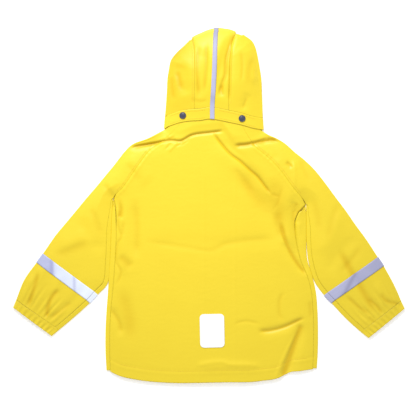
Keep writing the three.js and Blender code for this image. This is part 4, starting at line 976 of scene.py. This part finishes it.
# %% Cuff surface
def cuff_grid(ends, table, side, rows=16, waves=9):
    """Rows from the sleeve to the wrist edge; across: top with its waves, fold, underneath, fold.
    The first row leans over to the end of the sleeve, whose seam lies square to its lower edge."""
    v = np.linspace(0, 1, rows)
    (ax0, ay0, bx0, by0), (ax1, ay1, bx1, by1) = ends
    a = np.stack([mix(ax0, ax1, v), mix(ay0, ay1, v)], -1)
    b = np.stack([mix(bx0, bx1, v), mix(by0, by1, v)], -1)
    out = np.array([ax1 - ax0, ay1 - ay0]) / math.hypot(ax1 - ax0, ay1 - ay0)
    a, b = a + out * (SEAM_GAP * (1 - v))[:, None], b + out * (SEAM_GAP * (1 - v))[:, None]
    wide = np.linalg.norm(b - a, axis=1)[:, None]
    n = (b - a) / wide
    inner = TURN_OUT + TURN_IN
    start = wide - inner - STRIP_WIDE - SEAM_GAP / 2
    last = rows_at(table, LAST_ROW)
    n_last = side_normal(table, np.array(float(LAST_ROW)), 4, -side)
    lean = last[4:6] + n_last * (inner + STRIP_WIDE + SEAM_GAP / 2) - (a[0] + n[0] * start[0, 0])

    def top_at(d):
        """Top layer at a distance from the upper fold, with its waves."""
        p = a[:, None, :] + n[:, None, :] * d[..., None]
        share = ((1 - v) ** 2)[:, None] * np.clip(d / start, 0, 1)
        p = p + lean * share[..., None]
        fade = smooth((d - 3) / 8) * smooth((wide - d - 3) / 8)
        wave = np.sin(d / wide * 2 * math.pi * waves + 0.6 * np.sin(d / 11)) + 0.3 * np.sin(d / 2.9)
        z = body_top(p[..., 0], p[..., 1]) + fade * smooth(v / 0.6)[:, None] * (0.8 * wave - 0.4)
        return raised(p, np.maximum(z, LOW + WALL + LAY_GAP + 0.3))

    top = top_at(mix(start, inner, np.linspace(0, 1, 110)[None, :]))
    low = np.full(rows, LOW)
    first = turned(a, n, fold_angles, TURN_IN, top[:, -1, 2], low)
    reach = mix(inner, wide - inner, np.linspace(0, 1, 30)[None, :])
    under = raised(a[:, None, :] + n[:, None, :] * reach[..., None], LOW)
    lap = top_at(mix(wide - inner, wide - inner - STRIP_WIDE + SEAM_GAP / 2, np.linspace(0, 1, 6)[None, :]))
    second = turned(b, -n, fold_angles[::-1], TURN_IN, lap[:, 0, 2], low)
    return np.concatenate([top, first, under, second, lap], 1)


cuff_ends = {
    "left": [(-387, -190, -303, -251), (-393, -205, -316, -262)],
    "right": [(384, -192, 305, -255), (391, -207, 319, -266)],
}
for name, table, side in sleeves:
    cloth_sheet(f"cuff_{name}", cuff_grid(cuff_ends[name], table, side), CLOTH)

# %% [markdown]
# ## Collar
# The collar stands inside the hood, from the front opening round the neck. From above the hood
# hides it, but it shows through the opening of the hood from below.

# %% Collar surface
collar_parts = {
    "left": [[8, 104.6, 8, 139], [-22, 113.8, -12, 143], [-53, 123, -32, 156], [-57, 150, -46, 184],
             [-61, 178.6, -60, 212]],
    "top": [[-61, 179, -60, 212], [-49.6, 172.8, -46, 209], [-24, 178, -22, 212], [5, 180, 5, 213],
            [34, 178.6, 33, 212], [60, 172, 60, 207], [80, 176.8, 79, 210]],
    "right": [[79.4, 176.6, 78, 210], [76, 148, 64, 182], [73.6, 117, 54, 152], [42, 111, 34, 142],
              [12, 104.8, 12, 139]],
}


def collar_grid(rows=22):
    """Across: under the neck on the left, round its fold, behind the neck, and back on the right."""
    v = np.linspace(0, 1, rows)[:, None, None]
    low = LOW + WALL + LAY_GAP + 0.2

    def strip(part, start, end, count):
        row = rows_at(collar_parts[part], np.linspace(start, end, count))
        return mix(row[None, :, 0:2], row[None, :, 2:4], v)

    def lowest(plan):
        z = np.maximum(low, bottom_level(plan[..., 0], np.minimum(plan[..., 1], FLAP_TOP + 20)))
        return raised(plan, z)

    left, right = strip("left", 4, 4, 1), strip("top", 6, 6, 1)
    step = np.array([2.0, 0.0])
    top = lifted(np.concatenate([left + step, strip("top", 0.5, 5.5, 60), right - step], 1), body_top)
    flat = np.full(rows, low)
    turn_left = turned(left[:, 0], np.tile([1.0, 0.0], (rows, 1)), fold_angles[::-1], TURN_IN, top[:, 0, 2], flat)
    turn_right = turned(right[:, 0], np.tile([-1.0, 0.0], (rows, 1)), fold_angles, TURN_IN, top[:, -1, 2], flat)
    return np.concatenate([lowest(strip("left", 0, 3, 36)), raised(left + step, low), turn_left, top, turn_right,
                           raised(right - step, low), lowest(strip("right", 1, 4, 36))], 1)


cloth_sheet("collar", collar_grid(), CLOTH)

# %% [markdown]
# ## Hood
# The hood has a centre strip and two side panels, sewn to a band at the neck. It lies on its face,
# so its side panels turn round the outer folds and end at the edge round the face, underneath.

# %% Hood side panels
hood_places = np.linspace(0, 8, 92)
hood_angles = np.linspace(0, math.pi, 11)[1:-1]


def first_rows(y, first, f):
    """The first rows of the hood follow the band below them."""
    return y + first * (1 - np.clip(f / 2, 0, 1)) ** 2


def hood_side(table, side, f=hood_places):
    """Across: from the centre seam out to the fold, round it, and back underneath."""
    row = rows_at(table, f)
    edge, seam, face = row[:, 0:2], row[:, 2:4], row[:, 4:6]
    n = side_normal(table, f, 0, -side)
    shut = np.minimum(HOOD_HALF, np.linalg.norm(edge - seam, axis=1) * 0.3)
    inner = edge + n * (TURN_OUT + shut)[:, None]
    seam = seam - np.array([side * SEAM_GAP / 2, 0])
    face = face - np.array([side * SEAM_GAP / 2, 0])
    t = np.linspace(0, 1, 46)
    plan = between(seam, inner, t)
    corner = np.array([edge[0, 0] + side * (TURN_OUT + HOOD_HALF), edge[0, 1]])
    start = mix(seam[0], corner, t[:, None])
    band_top = height_of(hood_arc, start[:, 0]) + HOOD_BAND - start[:, 1]
    plan[..., 1] = first_rows(plan[..., 1], band_top[None, :], f[:, None])
    top = lifted(plan, hood_top)
    k = np.sin(hood_angles)[None, :, None]
    inset = TURN_OUT + shut[:, None, None] * (1 - k)
    z = (top[:, -1, 2:3] + LOW) / 2 + (top[:, -1, 2:3] - LOW) / 2 * np.cos(hood_angles)[None, :]
    wrap = raised(edge[:, None, :] + n[:, None, :] * inset, z)
    t = np.linspace(0, 1, 24)
    plan = between(inner, face, t)
    start = mix(corner, face[0], t[:, None])
    band_under = (height_of(hood_under, start[:, 0]) + HOOD_BAND - start[:, 1]) * smooth(t * 4)
    plan[..., 1] = first_rows(plan[..., 1], band_under[None, :], f[:, None])
    return np.concatenate([top, wrap, raised(plan, LOW)], 1)


def hood_painted_shade(grid):
    """Painted shade on the hood: deeper in its troughs, and over its left half, which leans out of the light, most of
    all by the fold and the crown.
    """
    painted_side_shade = 0.42 + 0.4 * smooth((grid[..., 1] - 250) / 70)
    return painted_crease_shade(grid, hood_creases) + smooth((6 - grid[..., 0]) / 80) * painted_side_shade


for name, table, side in hood_sides:
    grid = hood_side(table, side)
    cloth_sheet(f"hood_{name}", grid, CLOTH, trough=hood_painted_shade(grid))

# %% Centre strip of the hood
def tape_at(y):
    """Left edge of the tape at a height."""
    return height_of(tape_line, y)


def strip_across(left, right, y, count=12):
    """Places across the centre strip, with some on both edges of the tape."""
    start, end = tape_at(y), tape_at(y) + TAPE_WIDE
    s = np.linspace(0, 1, count)
    return np.concatenate([mix(left, start, s), mix(start, end, np.linspace(0, 1, 6)[1:-1]), mix(end, right, s)])


CROWN_LEFT, CROWN_RIGHT, CROWN_Y = -34.6, 52.6, 352.0  # where the centre strip turns over the crown
LIP_SPREAD = 3.0  # how much further apart its edges are at the lip
LIP_LEFT, LIP_RIGHT = 303.0, 306.0  # y of the lip at its two ends


def centre_grid():
    """Rows from the band up the back of the hood, round the crown and down to the lip underneath."""
    rows = []
    for f in np.linspace(0, 7.5, 80):
        a, b = rows_at(hood_left_rows, f), rows_at(hood_right_rows, f)
        left, right = a[2] + SEAM_GAP / 2, b[2] - SEAM_GAP / 2
        x = strip_across(left, right, (a[3] + b[3]) / 2)
        t = (x - left) / (right - left)
        first = height_of(hood_arc, x) + HOOD_BAND - mix(hood_left_rows[0][3], hood_right_rows[0][3], t)
        y = first_rows(mix(a[3], b[3], t) + smooth((f - 4.5) / 3) * 9 * np.sin(math.pi * t), first, f)
        rows.append(np.stack([x, y, hood_top(x, y)], -1))
    x = strip_across(CROWN_LEFT, CROWN_RIGHT, CROWN_Y)
    y = height_of(curve(crown), x) - TURN_OUT - HOOD_HALF
    z = hood_top(x, y)
    before = rows[-1][:, 1]
    rows += [lifted(np.stack([x, mix(before, y, s)], -1), hood_top) for s in (0.35, 0.7)]
    rows.append(np.stack([x, y, z], -1))
    for angle in hood_angles:
        edge = y + HOOD_HALF * np.sin(angle)
        rows.append(np.stack([x, edge, (z + LOW) / 2 + (z - LOW) / 2 * math.cos(angle)], -1))
    for s in np.linspace(0, 1, 14):
        left = CROWN_LEFT - LIP_SPREAD * s + SEAM_GAP / 2
        right = CROWN_RIGHT + LIP_SPREAD * s - SEAM_GAP / 2
        u = strip_across(left, right, CROWN_Y)
        lip = mix(LIP_LEFT, LIP_RIGHT, (u - left) / (right - left))
        rows.append(raised(np.stack([u, mix(y, lip, s)], -1), LOW))
    return np.array(rows)


centre = centre_grid()
centre_normals = grid_normals(centre)
cloth_sheet("hood_centre", centre, CLOTH, trough=hood_painted_shade(centre))

# %% Band along the neck edge of the hood
def band_grid(rows=18):
    """Across: underneath on the left, round the fold, along the neck edge on top, and back."""
    v = np.linspace(0, 1, rows)
    rise = (v * (HOOD_BAND - SEAM_GAP - 0.1))[:, None]

    def under(points, count):
        """Band underneath, along a line of points."""
        line = np.array(points, float)
        s = np.linspace(0, len(line) - 1, count)
        x = np.interp(s, np.arange(len(line)), line[:, 0])
        y = np.interp(s, np.arange(len(line)), line[:, 1])
        return raised(np.stack([np.broadcast_to(x, (rows, count)), y[None, :] + rise], -1), LOW)

    left = np.stack([mix(-91, -89.2, v), 153.2 + rise[:, 0]], -1)
    right = np.stack([mix(108.6, 107.2, v), 150.9 + rise[:, 0]], -1)
    step = np.array([TURN_OUT + HOOD_HALF, 0.0])
    xs = np.concatenate([np.linspace(-84, 1.2, 44), np.linspace(1.2, 10, 6)[1:-1], np.linspace(10, 101, 46)])
    top_plan = np.stack([np.broadcast_to(xs, (rows, len(xs))), height_of(hood_arc, xs)[None, :] + rise], -1)
    top_plan = np.concatenate([(left + step)[:, None, :], top_plan, (right - step)[:, None, :]], 1)
    top = lifted(top_plan, hood_top)
    low = np.full(rows, LOW)
    turn_l = turned(left, np.tile([1.0, 0.0], (rows, 1)), hood_angles[::-1], HOOD_HALF, top[:, 0, 2], low)
    turn_r = turned(right, np.tile([-1.0, 0.0], (rows, 1)), hood_angles, HOOD_HALF, top[:, -1, 2], low)
    corner_l, corner_r = raised((left + step)[:, None, :], LOW), raised((right - step)[:, None, :], LOW)
    first = under([(-14, 100), (-60, 116), (-80, 134)], 34)[:, :-1]
    last = under([(98, 130), (78, 112), (38, 100)], 34)[:, 1:]
    return np.concatenate([first, corner_l, turn_l, top, turn_r, corner_r, last], 1)


neck_band = band_grid()
band_normals = grid_normals(neck_band)
cloth_sheet("hood_band", neck_band, CLOTH)

# %% [markdown]
# ## Reflective tape up the hood
# The tape is sewn to the band and the centre strip and runs on to the crown. It takes the columns
# of those two grids that lie under it, and sits on them by half of both thicknesses.

# %% Hood tape
first = int(np.argmin(np.abs(neck_band[0, :, 0] - 1.2) + np.where(neck_band[0, :, 2] > 3, 0, 1e3)))
on_band = slice(first, first + 6)
on_strip = slice(11, 17)
CROWN_ROWS = 86  # rows of the centre strip from the band to the crown
tape_grid = np.concatenate([neck_band[:, on_band], centre[:CROWN_ROWS, on_strip]])
tape_normals = np.concatenate([band_normals[:, on_band], centre_normals[:CROWN_ROWS, on_strip]])
tape_y = tape_grid[..., 1]
# Painted shade on the tape: darker towards the crown, and a dark line across it at a crease near the band.
painted_tape_shade = 0.8 * smooth((tape_y - 280) / 60) + 0.45 * painted_shade_line(tape_y - 213, 10)
cloth_sheet("hood_tape", tape_grid + tape_normals * ON_CLOTH, SILVER,
            tape_normals, painted_tape_shade)

# %% [markdown]
# ## Patch on the lower back
# A pale transfer is pressed on the lower back, a rectangle with round corners. It follows the
# cloth under it, so it takes its heights from the back.

# %% Patch
PATCH_X, PATCH_Y = 5.5, -251.0


def patch_grid(rows=60, columns=40):
    """Rows across the patch, each as long as the round corners leave it."""
    wide, tall, corner, tilt = 49.0, 67.0, 8.0, 0.02
    v = 0.5 - 0.5 * np.cos(np.linspace(0, math.pi, rows))
    from_end = np.minimum(v, 1 - v) * tall
    short = np.maximum(corner - from_end, 0)
    cut = corner - np.sqrt(np.maximum(corner**2 - short**2, 0.0))
    px = np.linspace(-1, 1, columns)[None, :] * (wide / 2 - cut)[:, None]
    py = np.broadcast_to(((v - 0.5) * tall)[:, None], px.shape)
    plan = np.stack([PATCH_X + px - py * tilt, PATCH_Y + py + px * tilt], -1)
    return lifted(plan, body_top)


patch = patch_grid()
patch_normals = grid_normals(patch)
cloth_sheet("back_patch", patch + patch_normals * ON_CLOTH, PATCH, patch_normals)

# %% [markdown]
# ## Snaps
# The two snaps on the hood's band and the five on the flap are moulded caps. A cap is a profile
# turned round its axis: a rolled rim, a shallow groove, and a low crown.

# %% Snap caps
cap_profile = np.array([
    [0.0, 0.0], [0.90, 0.0], [0.97, 0.10], [1.0, 0.28], [0.99, 0.48], [0.94, 0.66], [0.86, 0.74], [0.79, 0.70],
    [0.75, 0.60], [0.70, 0.62], [0.60, 0.78], [0.42, 0.92], [0.2, 0.99], [0.0, 1.0],
])


def snap_cap(node, place, up, radius, height, segments=48):
    """Profile of radius and height, turned round the axis up from a place."""
    up = np.array(up, float) / np.linalg.norm(up)
    first = np.array([1.0, 0, 0]) - up * up[0]
    first /= np.linalg.norm(first)
    second = np.cross(up, first)
    angle = np.linspace(0, 2 * math.pi, segments, endpoint=False)
    ring = np.cos(angle)[:, None] * first + np.sin(angle)[:, None] * second
    r, h = np.maximum(cap_profile[:, 0] * radius, 0.02), cap_profile[:, 1] * height
    points = np.array(place) + r[:, None, None] * ring[None] + h[:, None, None] * up
    at = np.arange(points.shape[0] * segments).reshape(points.shape[0], segments)
    after = np.roll(at, -1, axis=1)
    faces = np.stack([at[:-1], after[:-1], after[1:], at[1:]], -1).reshape(-1, 4)
    half = segments // 2
    closing = []
    for end in (at[0][::-1], at[-1]):
        closing.append(np.stack([end[: half - 1], end[1:half], end[-2 : half - 1 : -1], end[-1:half:-1]], -1))
    faces = np.concatenate([faces, *closing])
    piece = mesh_piece(node + "_piece", points.reshape(-1, 3), faces, navy_snap)
    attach(piece, "root")
    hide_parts(node)


flap_snaps = (60, -28, -116, -204, -292)
hood_snaps = (("left", -53.0, 179.0), ("right", 65.0, 173.0))
for k, y in enumerate(flap_snaps):
    snap_cap(f"flap_snap_{k + 1}", (29, y, FLAP_LEVEL - WALL / 2 - 0.3), (0, 0, -1), 6.5, 0.82)
for name, x, y in hood_snaps:
    near = hood_top(np.array([x, x - 4, x + 4, x, x]), np.array([y, y, y, y - 4, y + 4]))
    slope = np.array([(near[1] - near[2]) / 8, (near[3] - near[4]) / 8, 1])
    slope /= np.linalg.norm(slope)
    snap_cap(f"hood_snap_{name}", np.array([x, y, near[0]]) + slope * (WALL / 2 + 0.5), slope, 6.8, 2.2)
print("snap caps", len(flap_snaps) + len(hood_snaps))

# %% [markdown]
# ## Stitches
# Every seam that lies flat is topstitched. A stitch is a small loaf of thread: a rectangle on the
# cloth, and a shorter and narrower one above it. One piece of mesh holds a whole line of them.

# %% Lines of stitches
def stitches(name, line, level, pitch=3.4, long=2.5, wide=0.8, high=0.35):
    """Small loaves of thread, one every pitch along a line, each lying on the cloth at its place."""
    steps = np.diff(line, axis=0)
    size = np.concatenate([[0.0], np.cumsum(np.hypot(steps[:, 0], steps[:, 1]))])
    middle = np.arange(pitch, size[-1] - pitch, pitch)
    ends = []
    for shift in (-long / 2, long / 2):
        x, y = np.interp(middle + shift, size, line[:, 0]), np.interp(middle + shift, size, line[:, 1])
        ends.append(np.stack([x, y, level(x, y) + WALL / 2], -1))
    a, b = ends
    way = (b - a) / np.linalg.norm(b - a, axis=1, keepdims=True)
    side = np.stack([-way[:, 1], way[:, 0], np.zeros(len(a))], -1) * wide / 2
    up = np.array([0.0, 0.0, high])
    foot = [a - side - up * 0.3, b - side - up * 0.3, b + side - up * 0.3, a + side - up * 0.3]
    c, d, narrow = mix(a, b, 0.18), mix(a, b, 0.82), side * 0.6
    head = [c - narrow + up, d - narrow + up, d + narrow + up, c + narrow + up]
    points = np.stack(foot + head, 1).reshape(-1, 3)
    one = np.array([[3, 2, 1, 0], [4, 5, 6, 7], [0, 1, 5, 4], [1, 2, 6, 5], [2, 3, 7, 6], [3, 0, 4, 7]])
    faces = (one[None] + 8 * np.arange(len(a))[:, None, None]).reshape(-1, 4)
    piece = mesh_piece(name, points, faces, yellow_thread)
    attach(piece, "root")
    return len(a)


def moved(line, right):
    """Line moved sideways by a distance to its right."""
    way = np.gradient(line, axis=0)
    way /= np.linalg.norm(way, axis=1, keepdims=True)
    return line + np.stack([way[:, 1], -way[:, 0]], -1) * right


count = stitches("stitches_hem", hem_stitch[2:-2], body_top)
for name, line, right in (("left", raglan_left, 4.5), ("right", raglan_right, -4.5)):
    count += stitches(f"stitches_raglan_{name}", moved(line, right)[5:-1], body_top)
SEAM_STITCH = 4.0  # from a seam of the hood to its stitches
band_xs = np.linspace(-80, 97, 50)
beside_tape = (("left", band_xs < -3), ("right", band_xs > 15))
for name, rise in (("low", SEAM_STITCH), ("high", HOOD_BAND - SEAM_STITCH)):
    line = np.stack([band_xs, height_of(hood_arc, band_xs) + rise], -1)
    for end, part in beside_tape:
        count += stitches(f"stitches_hood_band_{name}_{end}", line[part], hood_top)
for name, rows, side in hood_sides:
    seam = table_line(np.array(rows, float), 2, 0.6, 7.0)
    count += stitches(f"stitches_hood_{name}", moved(seam, -side * SEAM_STITCH), hood_top)
print("stitches", count)

# %% [markdown]
# ## Floor
# A plain pale table top, wide enough to fill every view. It isn't part of the raincoat.

# %% Floor
FLOOR_HALF = 4000.0
FLOOR_DROP = 0.05  # below the raincoat, so that the two never share a plane
floor_line = np.linspace(-FLOOR_HALF, FLOOR_HALF, 5)
u, v = np.meshgrid(floor_line, floor_line)
at = np.arange(u.size).reshape(u.shape)
floor_points = raised(np.stack([u, v], -1), -FLOOR_DROP).reshape(-1, 3)
floor_faces = np.stack([at[:-1, :-1], at[:-1, 1:], at[1:, 1:], at[1:, :-1]], -1).reshape(-1, 4)
pale_table = finish("pale_table", (0.94, 0.94, 0.94), (0.92, 0.92, 0.92), 0.2, 0.0, 0.0, 0.8, Specular_IOR_Level=0.1,
                    Emission_Color=(1.0, 1.0, 1.0, 1.0), Emission_Strength=0.27)
floor = mesh_piece("floor", floor_points, floor_faces, pale_table)
print("floor", tuple(round(s, 2) for s in floor.dimensions))
